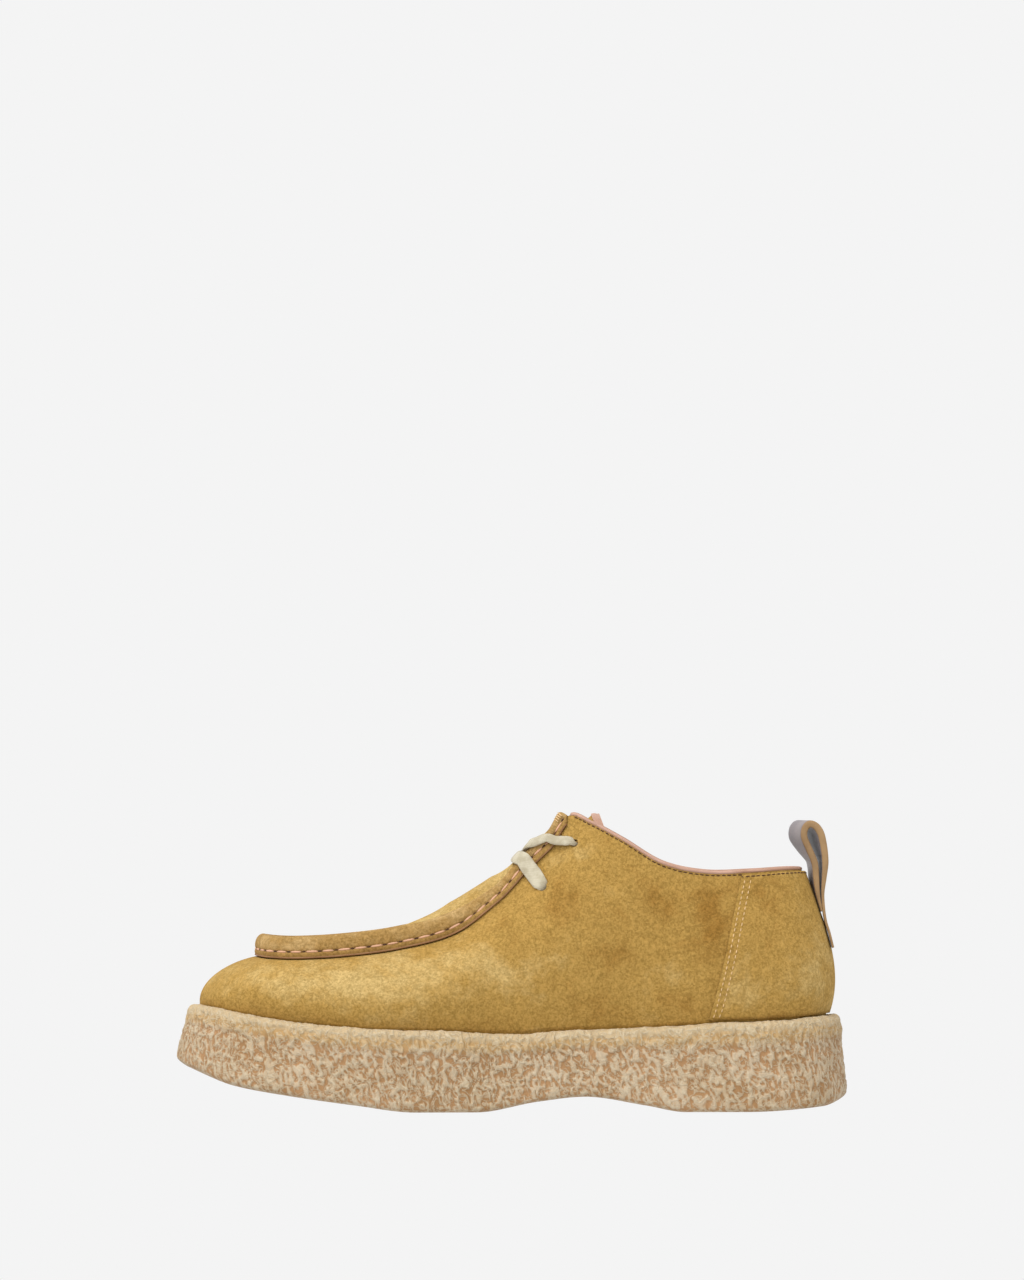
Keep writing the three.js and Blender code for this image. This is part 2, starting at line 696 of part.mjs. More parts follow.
// Lace stops from an eyelet, over the strip at the edge, to the open throat. over is the lace's
// height above the suede, as a share of the strip's thickness.
const barStops = [
  { row: lowerEyelet.row, reach: 0.4 - lowerEyelet.down, over: 0.3 },
  { row: 9.41, reach: -18, over: 0.3 },
  { row: 9.65, reach: -11, over: 0.5 },
  { row: 9.85, reach: -4.4, over: 1.6 },
  { row: 9.95, reach: 1.4, over: 2.1 },
  { row: 9.99, reach: 4.2, over: 1.9 },
  { row: 9.99, reach: 5.7, over: 0.9 },
];
const strandStops = [
  { row: upperEyelet.row, reach: -upperEyelet.down, over: 0.3 },
  { row: 8.02, reach: -12.8, over: 0.4 },
  { row: 8.4, reach: -10, over: 0.6 },
  { row: 8.8, reach: -5, over: 1.7 },
  { row: 9.15, reach: 0.5, over: 2.2 },
  { row: 9.42, reach: 3, over: 2.2 },
  { row: 9.62, reach: 5, over: 1.7 },
];

function laceBar() {
  const half = (side) => barStops.map(({ row, reach, over }) => ({
    at: byEdge(row, side, reach, laceLift + over * stripThickness),
    across: throatLine,
  }));
  return band([...half(-1), ...half(1).reverse()], laceWidth, laceThickness, 2);
}

// The two upper strands are folded narrower and meet in the middle, tucked under the bar. These
// shares of the lace's width give a strand's own width, place its fold above the bar and to its
// side, and place its end past the middle.
const strandShare = 0.72;
const foldAbove = 0.8;
const foldAside = 0.7;
const endPast = 0.1;

function laceStrands() {
  const last = barStops[barStops.length - 1];
  const barMiddle = byEdge(last.row, -1, last.reach, laceLift + last.over * stripThickness).setY(0);
  const tuck = barMiddle.addScaledVector(throatOut, -(laceThickness + 2 * clearance));
  const strand = (side) => {
    const stops = strandStops.map(({ row, reach, over }) => ({
      at: byEdge(row, side, reach, laceLift + over * stripThickness),
      across: throatLine,
    }));
    const across = new THREE.Vector3(0, -side, 0);
    const fold = tuck.clone().addScaledVector(throatLine, laceWidth * foldAbove);
    fold.y = side * laceWidth * foldAside;
    const end = tuck.clone().addScaledVector(throatLine, -laceWidth * endPast);
    end.y = -side * laceWidth * endPast;
    const places = [...stops, { at: fold, across }, { at: end, across }];
    return solidOf(band(places, laceWidth * strandShare, laceThickness, 2));
  };
  return geometryOf(strand(-1).add(strand(1)));
}

// Pull loop: one strap sewn flat on the heel, up over a narrow loop and down again inside it.
// The first rows lie on the heel panel, by the level of the rib. The others give the strap's
// middle, back from the collar and above it, as shares of the loop's height. So do the heights
// between which the strap's inner edge comes to lean forward by loopTwist.
const twistFrom = -0.16;
const twistTo = 0.7;
const loopOnHeel = [0.46, 0.56, 0.65];
const loopStops = [
  { back: 0.46, above: -0.44 },
  { back: 0.5, above: -0.02 },
  { back: 0.515, above: 0.29 },
  { back: 0.5, above: 0.6 },
  { back: 0.41, above: 0.87 },
  { back: 0.21, above: 0.98 },
  { back: 0.03, above: 0.86 },
  { back: 0.07, above: 0.58 },
  { back: 0.22, above: 0.27 },
  { back: 0.3, above: -0.02 },
  { back: 0.31, above: -0.36 },
];

function pullLoop() {
  const lift = 2 * clearance + counterWall + loopThickness / 2;
  const collar = edgeLoop.getPoint(0);
  const middles = [
    ...loopOnHeel.map((level) => onWrap(0, level, lift)),
    ...loopStops.map(({ back, above }) => new THREE.Vector3(
      collar.x + back * loopHeight,
      0,
      collar.z + above * loopHeight,
    )),
  ];
  const path = new THREE.CatmullRomCurve3(middles, false, "centripetal");
  const steps = 2 * (middles.length - 1);
  const rings = Array.from({ length: steps + 1 }, (_, i) => {
    const at = path.getPoint(i / steps);
    const along = path.getTangent(i / steps);
    const face = new THREE.Vector3(along.z, 0, -along.x);
    const above = (at.z - collar.z) / loopHeight;
    const lean = loopTwist * THREE.MathUtils.smoothstep(above, twistFrom, twistTo);
    return [[-1, -1], [1, -1], [1, 1], [-1, 1]].map(([s, f]) => {
      const corner = at.clone().addScaledVector(face, (f * loopThickness) / 2);
      corner.y = (s * loopWidth) / 2;
      corner.x -= s > 0 ? lean : 0;
      return corner;
    });
  });
  return sweep(rings, fan(4));
}

const root = new THREE.Group();

function place(name, geometry, color, roughness) {
  const material = new THREE.MeshStandardMaterial({ color, roughness, metalness: 0 });
  const mesh = new THREE.Mesh(geometry, material);
  mesh.name = name;
  root.add(mesh);
}

place("outsole", outsole(), 0xb99b78, 0.85);
place("upper", upper(), 0xbc9658, 0.95);
place("apron_seam", apronSeam(), 0xa78453, 0.95);
place("counter", counter(), 0xbd9650, 0.95);
place("collar_piping", piping(), 0xc7a084, 0.6);
place("tongue", tongue(), 0xc09c5e, 0.95);
place("insole", insole(), 0xc8a480, 0.7);
place("lace_bar", laceBar(), 0xd5c8ac, 0.8);
place("lace_strands", laceStrands(), 0xd5c8ac, 0.8);
place("pull_loop", pullLoop(), 0x8c765a, 0.6);

export default root;
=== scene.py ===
# %% [markdown]
# # A creeper shoe: low laced moccasin on a thick crepe sole
#
# The real shoe is a wrap of mustard suede round the foot, with a flat apron sewn into it by a raised
# hand-stitched seam, on a platform of natural crepe rubber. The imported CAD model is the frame: it holds
# the true sizes. This lesson dresses it with finer pieces, made from the same tables in millimetres,
# and gives each surface the finish that the real one has.

# %% Load the frame
import math

import bmesh
import bpy
import numpy as np
from mathutils import Matrix, Vector, noise


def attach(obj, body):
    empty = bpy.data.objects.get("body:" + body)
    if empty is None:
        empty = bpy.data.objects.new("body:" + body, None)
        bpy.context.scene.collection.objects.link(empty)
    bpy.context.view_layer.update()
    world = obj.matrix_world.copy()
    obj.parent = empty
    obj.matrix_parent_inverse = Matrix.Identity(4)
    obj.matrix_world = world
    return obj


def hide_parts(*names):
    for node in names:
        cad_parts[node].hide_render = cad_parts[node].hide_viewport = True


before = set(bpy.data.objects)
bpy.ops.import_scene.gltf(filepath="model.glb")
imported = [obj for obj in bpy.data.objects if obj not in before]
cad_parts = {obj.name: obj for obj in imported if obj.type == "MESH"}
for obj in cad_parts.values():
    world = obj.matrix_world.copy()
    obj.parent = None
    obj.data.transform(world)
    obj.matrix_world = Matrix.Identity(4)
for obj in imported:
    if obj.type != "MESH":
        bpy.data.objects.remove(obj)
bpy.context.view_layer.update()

scene = bpy.context.scene
print("frame nodes:", ", ".join(sorted(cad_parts)))

# %% [markdown]
# ## Camera
#
# The photo is a flat side view from far away, so a long lens stands twelve metres off, level, with the
# shoe in the lower half of an upright frame. It comes first, so that every later look is judged in this
# view.

# %% Camera
CAMERA_DISTANCE = 12.0
VIEW_HEIGHT = 0.576
VIEW_CENTRE = (0.0001, 0.2118)
SENSOR = 36.0

camera_data = bpy.data.cameras.new("camera")
camera_data.sensor_width = SENSOR
camera_data.lens = SENSOR * CAMERA_DISTANCE / VIEW_HEIGHT
camera_data.clip_end = 100
camera = bpy.data.objects.new("camera", camera_data)
camera.location = (VIEW_CENTRE[0], -CAMERA_DISTANCE, VIEW_CENTRE[1])
camera.rotation_euler = (math.pi / 2, 0, 0)
scene.collection.objects.link(camera)
scene.camera = camera
print("lens", round(camera_data.lens), "mm")

# %% [markdown]
# ## Driving sizes
#
# These are the sizes of the shoe, in millimetres. Shares in the tables below multiply them.

# %% Driving sizes
MM = 0.001
SOLE_LENGTH = 301
SOLE_WIDTH = 114
PLATFORM = 35.6
TOE_SPRING = 22
ARCH_LIFT = 6.9
HEEL_SPRING = 6.5
FLARE = 3.8
FOOT_ROUND = 5
LIP_ROUND = 2.4
LEDGE_TOE = 6.3
LEDGE_HEEL = 5.5
INSTEP_HEIGHT = 98
WALL = 2
CLEARANCE = 0.35
SEAM_RISE = 10.2
SEAM_WIDTH = 6.3
TAB_ROLL = 4.6
TAB_FLANGE = 4
STRIP = 1.2
COUNTER_WALL = 1.2
COUNTER_MARGIN = 1.2
PIPING_RADIUS = 0.9
INSOLE_WALL = 3
TONGUE_WALL = 2
EYELET_RADIUS = 1.9
LACE_WIDTH = 6.5
LACE_THICKNESS = 1.3
LOOP_WIDTH = 20
LOOP_THICKNESS = 2.1
LOOP_HEIGHT = 22
LOOP_TWIST = 5.5
HALF_WIDTH = SOLE_WIDTH / 2

# %% [markdown]
# ## Two tables
#
# A shoemaker thinks in sections along the foot. The first table gives the sole's height from toe to
# heel, the second has one row for each rib of the upper from the heel round to the toe.

# %% Tables of the sole and the ribs
HEIGHTS = [dict(zip(("along", "toe", "arch", "heel", "thick"), row)) for row in (
    (0, 1, 0, 0, 0.69),
    (0.035, 0.8, 0, 0, 0.842),
    (0.085, 0.54, 0, 0, 0.933),
    (0.17, 0.33, 0, 0, 0.941),
    (0.267, 0.145, 0, 0, 0.975),
    (0.357, 0, 0, 0, 1.034),
    (0.447, 0, 0, 0, 1),
    (0.54, 0, 0.69, 0, 0.862),
    (0.61, 0, 1, 0, 0.842),
    (0.7, 0, 0.43, 0, 0.984),
    (0.76, 0, 0, 0, 1.093),
    (0.85, 0, 0, 0, 1.135),
    (0.965, 0, 0, 0.37, 1.138),
    (1, 0, 0, 1, 1.045),
)]
RIB_COLUMNS = ("along", "outer", "inner", "top", "half", "lean", "rise",
               "low_out", "low_up", "top_out", "top_down", "crown")
RIBS = [dict(zip(RIB_COLUMNS, row)) for row in (
    (1, 0, 0, 0.933, 0, 0, 0.677, 0.14, 0.33, 0.14, 0.34, 0),
    (0.984, 0.335, 0.33, 0.93, 0.17, 0, 0.681, 0.14, 0.33, 0.135, 0.34, 0),
    (0.945, 0.57, 0.56, 0.907, 0.325, 0, 0.686, 0.13, 0.33, 0.125, 0.34, 0),
    (0.88, 0.69, 0.67, 0.859, 0.455, 0, 0.683, 0.1, 0.33, 0.09, 0.33, 0),
    (0.8, 0.735, 0.7, 0.789, 0.535, 0, 0.687, 0.09, 0.33, 0.07, 0.33, 0),
    (0.71, 0.745, 0.685, 0.726, 0.56, 0, 0.741, 0.1, 0.33, 0.09, 0.33, 0),
    (0.635, 0.75, 0.67, 0.666, 0.525, 0, 0.858, 0.12, 0.33, 0.15, 0.32, 0),
    (0.575, 0.77, 0.67, 0.617, 0.42, 0, 0.944, 0.13, 0.33, 0.21, 0.3, 0),
    (0.53, 0.805, 0.685, 0.586, 0.31, 0, 0.981, 0.14, 0.33, 0.25, 0.3, 0),
    (0.49, 0.84, 0.715, 0.564, 0.285, 0, 0.889, 0.14, 0.33, 0.24, 0.3, 0),
    (0.45, 0.88, 0.76, 0.521, 0.295, 0, 0.768, 0.15, 0.34, 0.23, 0.3, 0.058),
    (0.405, 0.925, 0.82, 0.479, 0.34, 0, 0.615, 0.15, 0.36, 0.23, 0.28, 0.09),
    (0.35, 0.97, 0.9, 0.42, 0.425, 0.01, 0.45, 0.15, 0.38, 0.23, 0.24, 0.086),
    (0.29, 1, 0.97, 0.334, 0.51, 0.02, 0.366, 0.14, 0.42, 0.22, 0.2, 0.036),
    (0.22, 0.98, 1, 0.241, 0.565, 0.035, 0.313, 0.13, 0.45, 0.22, 0.15, 0.014),
    (0.145, 0.88, 0.97, 0.174, 0.535, 0.05, 0.282, 0.11, 0.48, 0.22, 0.12, 0.008),
    (0.08, 0.7, 0.84, 0.139, 0.41, 0.07, 0.27, 0.08, 0.5, 0.21, 0.1, 0.006),
    (0.028, 0.41, 0.56, 0.123, 0.22, 0.085, 0.268, 0.04, 0.5, 0.21, 0.1, 0.003),
    (0, -0.1, 0.1, 0.118, 0, 0.09, 0.269, 0.026, 0.5, 0.21, 0.1, 0),
)]
TOE_ROW = len(RIBS) - 1
TAB_ROW = 8
PLUG_ROW = 10 + 1 / 3
COUNTER_LOW_ROW = 4.05
COUNTER_TOP_ROW = 3.25
THROAT_GUIDE_ROW = 8.9
COLLAR_GUIDE_ROW = 7.3
PIPING_ROW = 7.75
FLAT_UNTIL_ROW = 10.2
STANDS_FROM_ROW = 12.2
LOWER_EYELET = (9.27, 21.6)
UPPER_EYELET = (7.72, 13.4)
print(len(HEIGHTS), "heights and", len(RIBS), "ribs")

# %% [markdown]
# ## Curves through the tables
#
# Two kinds of curve join the rows. The heights use a cubic that never swings past a row's value, so the
# arch stays clean. The loops round the shoe use a centripetal spline, which doesn't bunch up where rows
# are close. Both take whole arrays, because numpy is much quicker than a loop in Python.

# %% Curves
def follow(rows, key, at):
    places = np.array([row["along"] for row in rows], float)
    values = np.array([row[key] for row in rows], float)
    at = np.clip(at, places[0], places[-1])
    slopes = np.diff(values) / np.diff(places)
    tangents = np.concatenate([slopes[:1], np.zeros(len(rows) - 2), slopes[-1:]])
    product = slopes[:-1] * slopes[1:]
    steady = product > 0
    total = np.where(steady, slopes[:-1] + slopes[1:], 1)
    tangents[1:-1] = np.where(steady, 2 * product / total, 0)
    first = np.clip(np.searchsorted(places, at, side="right") - 1, 0, len(rows) - 2)
    span = places[first + 1] - places[first]
    s = (at - places[first]) / span
    return ((2 * s**3 - 3 * s**2 + 1) * values[first] + (s**3 - 2 * s**2 + s) * span * tangents[first]
            + (3 * s**2 - 2 * s**3) * values[first + 1] + (s**3 - s**2) * span * tangents[first + 1])


def spline_piece(p0, p1, p2, p3, weight):
    def span(a, b):
        return np.maximum(np.linalg.norm(b - a, axis=-1, keepdims=True), 1e-6) ** 0.5

    d0, d1, d2 = span(p0, p1), span(p1, p2), span(p2, p3)
    start = ((p1 - p0) / d0 - (p2 - p0) / (d0 + d1) + (p2 - p1) / d1) * d1
    end = ((p2 - p1) / d1 - (p3 - p1) / (d1 + d2) + (p3 - p2) / d2) * d1
    return (p1 + start * weight + (3 * (p2 - p1) - 2 * start - end) * weight**2
            + (2 * (p1 - p2) + start + end) * weight**3)


def closed_spline(points, turns):
    points = np.asarray(points, float)
    place = np.mod(turns, 1.0) * len(points)
    first = np.floor(place).astype(int)
    around = [points[(first + k) % len(points)] for k in (-1, 0, 1, 2)]
    return spline_piece(*around, (place - first)[..., None])


def open_spline(points, shares):
    points = np.asarray(points, float)
    last = len(points) - 1
    padded = np.vstack([2 * points[0] - points[1], points, 2 * points[-1] - points[-2]])
    place = np.clip(shares, 0, 1) * last
    first = np.minimum(np.floor(place).astype(int), last - 1)
    around = [padded[first + k] for k in range(4)]
    return spline_piece(*around, (place - first)[..., None])


def unit(vectors):
    return vectors / np.maximum(np.linalg.norm(vectors, axis=-1, keepdims=True), 1e-12)


def smooth_step(value, low, high):
    share = np.clip((value - low) / (high - low), 0, 1)
    return share * share * (3 - 2 * share)


print("arch lift", follow(HEIGHTS, "arch", np.array([0.61]))[0] * ARCH_LIFT, "mm")

# %% [markdown]
# ## The last's surface
#
# Every piece of the shoe is placed on one surface, as a real one is pulled over a last. `turn` goes round
# the shoe from the heel along the outer side to the toe and back on the inner side, and `level` goes up
# a rib from the sole to the edge. A rib is a cubic curve with four loops of handles.

# %% Plan and height of the platform
def under_at(x):
    at = x / SOLE_LENGTH + 0.5
    return (TOE_SPRING * follow(HEIGHTS, "toe", at) + ARCH_LIFT * follow(HEIGHTS, "arch", at)
            + HEEL_SPRING * follow(HEIGHTS, "heel", at))


def top_at(x):
    return under_at(x) + PLATFORM * follow(HEIGHTS, "thick", x / SOLE_LENGTH + 0.5)


def lengthwise(share):
    return (share - 0.5) * SOLE_LENGTH


def both_sides(point_of):
    outer = [point_of(row, -1) for row in range(TOE_ROW + 1)]
    inner = [point_of(row, 1) for row in range(TOE_ROW - 1, 0, -1)]
    return np.array(outer + inner, float)


PLAN_LOOP = both_sides(lambda row, side: (
    lengthwise(RIBS[row]["along"]),
    side * HALF_WIDTH * RIBS[row]["outer" if side < 0 else "inner"],
    0,
))


def plan(turn, inset):
    turn = np.asarray(turn, float)
    point = closed_spline(PLAN_LOOP, turn)
    along = unit(closed_spline(PLAN_LOOP, turn + 1e-4) - closed_spline(PLAN_LOOP, turn - 1e-4))
    outward = np.stack([along[..., 1], -along[..., 0], np.zeros(turn.shape)], -1)
    side = np.sign(np.sum(outward * point, -1, keepdims=True))
    outward = outward * np.where(side == 0, 1, side)
    return point - outward * np.asarray(inset)[..., None], outward


def turn_of_row(row):
    return np.asarray(row, float) / (2 * TOE_ROW)


def row_of_turn(turn):
    return TOE_ROW - np.abs(np.mod(turn, 1.0) * 2 * TOE_ROW - TOE_ROW)


def ledge_at(x):
    return LEDGE_TOE + (LEDGE_HEEL - LEDGE_TOE) * (x / SOLE_LENGTH + 0.5)


# %% Ribs of the upper
def rib_ends(row, side):
    rib = RIBS[row]
    turn = turn_of_row(row if side < 0 else 2 * TOE_ROW - row)
    foot, outward = plan(turn, FLARE + ledge_at(lengthwise(rib["along"])))
    foot[2] = top_at(foot[0]) + CLEARANCE
    x = lengthwise(rib["top"])
    edge = np.array([x, (side * rib["half"] + rib["lean"]) * HALF_WIDTH,
                     top_at(x) + rib["rise"] * INSTEP_HEIGHT])
    height = edge[2] - foot[2]
    low = foot + outward * rib["low_out"] * HALF_WIDTH + np.array([0, 0, rib["low_up"] * height])
    high = edge + outward * rib["top_out"] * HALF_WIDTH - np.array([0, 0, rib["top_down"] * height])
    return foot, low, high, edge


RIB_LOOPS = [both_sides(lambda row, side, k=k: rib_ends(row, side)[k]) for k in range(4)]


def wrap_point(turn, level):
    turn, level = np.broadcast_arrays(np.asarray(turn, float), np.asarray(level, float))
    foot, low, high, edge = (closed_spline(loop, turn) for loop in RIB_LOOPS)
    up, rest = level[..., None], 1 - level[..., None]
    return foot * rest**3 + low * 3 * rest**2 * up + high * 3 * rest * up**2 + edge * up**3


def wrap_normal(turn, level):
    low = np.minimum(level, 0.999)
    around = wrap_point(turn + 1e-4, level) - wrap_point(turn - 1e-4, level)
    rise = wrap_point(turn, low + 1e-3) - wrap_point(turn, low)
    return unit(np.cross(rise, around))


def on_wrap(turn, level, out):
    return wrap_point(turn, level) + wrap_normal(turn, level) * np.asarray(out)[..., None]


def level_below(turn, length):
    """Level of the point that lies a length down the rib from its edge."""
    turn, length = np.broadcast_arrays(np.asarray(turn, float), np.asarray(length, float))
    levels = np.linspace(1, 0, 161)
    points = wrap_point(turn[..., None], levels)
    steps = np.linalg.norm(np.diff(points, axis=-2), axis=-1)
    gone = np.concatenate([np.zeros(turn.shape + (1,)), np.cumsum(steps, -1)], -1)
    flat = [np.interp(reach, row, levels) for reach, row in
            zip(length.ravel(), gone.reshape(-1, len(levels)))]
    return np.array(flat).reshape(turn.shape)


# %% Directions at the edge of the upper
UP = np.array([0.0, 0.0, 1.0])


def across(vector, along):
    return unit(vector - along * np.sum(vector * along, -1, keepdims=True))


def edge_frame(turn, guide=None):
    turn = np.asarray(turn, float)
    guide = turn if guide is None else guide
    edge = closed_spline(RIB_LOOPS[3], turn)
    along = unit(closed_spline(RIB_LOOPS[3], guide + 2e-3) - closed_spline(RIB_LOOPS[3], guide - 2e-3))
    rib_end = unit(wrap_point(guide, 1.0) - wrap_point(guide, 0.97))
    vamp = smooth_step(row_of_turn(turn), FLAT_UNTIL_ROW, STANDS_FROM_ROW)[..., None]
    flat = across(rib_end, along)
    rise = unit(flat + (across(np.broadcast_to(UP, along.shape), along) - flat) * vamp)
    out = unit(np.cross(rise, along))
    return {"edge": edge, "along": along, "rise": rise, "out": out, "vamp": vamp}


def in_frame(at, out, rise):
    return at["edge"] + at["out"] * np.asarray(out)[..., None] + at["rise"] * np.asarray(rise)[..., None]


def held_turn(turn, from_row, to_row):
    row = np.clip(row_of_turn(turn), from_row, to_row)
    return np.where(np.mod(turn, 1.0) <= 0.5, turn_of_row(row), turn_of_row(2 * TOE_ROW - row))


print("tab top at", np.round(wrap_point(turn_of_row(TAB_ROW), 1.0), 1), "mm")

# %% [markdown]
# ## Making a piece
#
# A piece arrives as points in millimetres and a list of faces. One helper turns it into a mesh in
# metres, merges doubles, lets Blender turn all faces outwards and shades it smooth.

# %% Mesh helpers
BODY = "root"


def grid_faces(rows, columns, start=0, close_rows=False, close_columns=False):
    faces = []
    for i in range(rows if close_rows else rows - 1):
        for k in range(columns if close_columns else columns - 1):
            a, b = start + i * columns + k, start + i * columns + (k + 1) % columns
            c, d = (start + ((i + 1) % rows) * columns + (k + 1) % columns,
                    start + ((i + 1) % rows) * columns + k)
            faces.append((a, b, c, d))
    return faces


def mesh_object(name, points, faces, merge=1e-7, **marks):
    """Marks are values for each point, kept on the mesh for its material to read."""
    mesh = bpy.data.meshes.new(name)
    mesh.from_pydata((np.asarray(points) * MM).tolist(), [], faces)
    for mark, values in marks.items():
        layer = mesh.attributes.new(mark, "FLOAT", "POINT")
        layer.data.foreach_set("value", np.asarray(values, float).ravel())
    tidy = bmesh.new()
    tidy.from_mesh(mesh)
    bmesh.ops.remove_doubles(tidy, verts=tidy.verts, dist=merge)
    bmesh.ops.dissolve_degenerate(tidy, edges=tidy.edges, dist=1e-8)
    bmesh.ops.recalc_face_normals(tidy, faces=tidy.faces)
    tidy.to_mesh(mesh)
    tidy.free()
    mesh.shade_smooth()
    made = bpy.data.objects.new(name, mesh)
    scene.collection.objects.link(made)
    return made


def hand_over(made, nodes, slot, *materials):
    if materials:
        made.data.materials.clear()
        for material in materials:
            made.data.materials.append(material)
    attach(made, BODY)
    if nodes:
        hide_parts(*nodes)
    print(made.name, len(made.data.polygons), "faces")
    return made


def add_modifier(made, kind, **settings):
    modifier = made.modifiers.new(kind.lower(), kind)
    for key, value in settings.items():
        setattr(modifier, key, value)
    return modifier


def plain_mesh(made):
    """Bakes an object's modifiers into its mesh."""
    bpy.context.view_layer.update()
    evaluated = made.evaluated_get(bpy.context.evaluated_depsgraph_get())
    mesh = bpy.data.meshes.new_from_object(evaluated)
    old = made.data
    made.modifiers.clear()
    made.data = mesh
    bpy.data.meshes.remove(old)
    mesh.name = made.name
    return made


# %% [markdown]
# ## Finishes
#
# Suede is the flesh side of leather, brushed up. The nap lies this way and that, so its colour changes in
# broad soft patches, and close up in fine short strokes. One node group makes both, and each suede
# material places it with its own colours.

# %% Node helpers
def colour(red, green, blue):
    """Linear colour of a screen colour."""
    parts = [value / 255 for value in (red, green, blue)]
    return (*(p / 12.92 if p <= 0.04045 else ((p + 0.055) / 1.055) ** 2.4 for p in parts), 1)


def add_node(tree, kind, inputs=None, **settings):
    made = tree.nodes.new(kind)
    for key, value in settings.items():
        setattr(made, key, value)
    for key, value in (inputs or {}).items():
        if isinstance(value, bpy.types.NodeSocket):
            tree.links.new(value, made.inputs[key])
        else:
            made.inputs[key].default_value = value
    return made


def noise_at(tree, where, scale, detail=2.0, roughness=0.5, distortion=0.0):
    made = add_node(tree, "ShaderNodeTexNoise", {
        "Vector": where, "Scale": scale, "Detail": detail, "Roughness": roughness,
        "Distortion": distortion})
    return made.outputs["Fac"]


def ramp(tree, value, low, high):
    made = add_node(tree, "ShaderNodeMapRange", {
        "Value": value, "From Min": low, "From Max": high}, interpolation_type="SMOOTHSTEP")
    return made.outputs["Result"]


def sums(tree, operation, first, second):
    made = add_node(tree, "ShaderNodeMath", {0: first, 1: second}, operation=operation)
    return made.outputs[0]


def mixed(tree, share, first, second, blend="MIX"):
    made = add_node(tree, "ShaderNodeMix", data_type="RGBA", blend_type=blend)
    for socket, value in ((made.inputs[0], share), (made.inputs[6], first), (made.inputs[7], second)):
        if isinstance(value, bpy.types.NodeSocket):
            tree.links.new(value, socket)
        else:
            socket.default_value = value
    return made.outputs[2]


def new_group(name, inputs, outputs):
    group = bpy.data.node_groups.new(name, "ShaderNodeTree")
    for label, kind, default in inputs:
        socket = group.interface.new_socket(label, in_out="INPUT", socket_type=kind)
        socket.default_value = default
    for label, kind in outputs:
        group.interface.new_socket(label, in_out="OUTPUT", socket_type=kind)
    return group, group.nodes.new("NodeGroupInput"), group.nodes.new("NodeGroupOutput")


def new_material(name, **sockets):
    material = bpy.data.materials.new(name)
    material.use_nodes = True
    shader = material.node_tree.nodes["Principled BSDF"]
    for key, value in sockets.items():
        shader.inputs[key.replace("_", " ")].default_value = value
    where = add_node(material.node_tree, "ShaderNodeTexCoord").outputs["Object"]
    return material, material.node_tree, shader, where


def bump(tree, shader, height, distance, strength=1.0):
    made = add_node(tree, "ShaderNodeBump", {"Height": height, "Distance": distance, "Strength": strength})
    tree.links.new(made.outputs["Normal"], shader.inputs["Normal"])
    return made


# %% Suede group
FLOAT, RGBA, VECTOR = "NodeSocketFloat", "NodeSocketColor", "NodeSocketVector"
nap_group, nap_in, nap_out = new_group(
    "suede_nap",
    [("Where", VECTOR, (0, 0, 0)), ("Body", RGBA, (0.5, 0.3, 0.1, 1)), ("Pale", RGBA, (0.6, 0.4, 0.2, 1)),
     ("Dark", RGBA, (0.3, 0.2, 0.05, 1)), ("Shade", FLOAT, 0.0), ("Patch Scale", FLOAT, 30.0),
     ("Nap Scale", FLOAT, 820.0)],
    [("Color", RGBA), ("Height", FLOAT)],
)
g = nap_group
patches = noise_at(g, nap_in.outputs["Where"], nap_in.outputs["Patch Scale"], 4, 0.6, 0.8)
mottle = noise_at(g, nap_in.outputs["Where"], sums(g, "MULTIPLY", nap_in.outputs["Patch Scale"], 5.0), 3, 0.6)
cloud = sums(g, "ADD", sums(g, "MULTIPLY", patches, 1.7), sums(g, "MULTIPLY", mottle, 0.8))
brushed = sums(g, "ADD", sums(g, "SUBTRACT", cloud, 0.7), nap_in.outputs["Shade"])
strokes = noise_at(g, nap_in.outputs["Where"], nap_in.outputs["Nap Scale"], 4, 0.75, 0.5)
clumps = noise_at(g, nap_in.outputs["Where"], sums(g, "MULTIPLY", nap_in.outputs["Nap Scale"], 0.3), 3, 0.7)
low = mixed(g, ramp(g, brushed, -0.25, 0.5), nap_in.outputs["Dark"], nap_in.outputs["Body"])
high = mixed(g, ramp(g, brushed, 0.5, 1.25), low, nap_in.outputs["Pale"])
grain = sums(g, "ADD", strokes, sums(g, "MULTIPLY", clumps, 0.25))
raised = mixed(g, 1.0, high, (1.28, 1.28, 1.38, 1), "MULTIPLY")
sunk = mixed(g, 1.0, high, (0.74, 0.73, 0.68, 1), "MULTIPLY")
g.links.new(mixed(g, ramp(g, grain, 0.45, 0.8), sunk, raised), nap_out.inputs["Color"])
g.links.new(grain, nap_out.inputs["Height"])


def attribute(tree, name):
    return add_node(tree, "ShaderNodeAttribute", attribute_name=name).outputs["Fac"]


def suede(name, body, pale, dark, patch_scale=30.0):
    material, tree, shader, where = new_material(name, Roughness=0.95, Sheen_Weight=0.3,
                                                 Sheen_Roughness=0.5, Specular_IOR_Level=0.1)
    shader.inputs["Sheen Tint"].default_value = pale
    nap = add_node(tree, "ShaderNodeGroup", node_tree=nap_group)
    for key, value in (("Body", body), ("Pale", pale), ("Dark", dark), ("Patch Scale", patch_scale)):
        nap.inputs[key].default_value = value
    tree.links.new(where, nap.inputs["Where"])
    # The shade mark holds brushed nap and also painted light and shade.
    tree.links.new(attribute(tree, "shade"), nap.inputs["Shade"])
    tree.links.new(nap.outputs["Color"], shader.inputs["Base Color"])
    bump(tree, shader, nap.outputs["Height"], 0.0007, 0.7)
    return material


suede_body = suede("mustard_suede", colour(164, 130, 66), colour(184, 156, 98), colour(142, 105, 46))
suede_seam = suede("seam_suede", colour(152, 119, 66), colour(178, 148, 98), colour(124, 92, 48), 44.0)
print("suede ready")
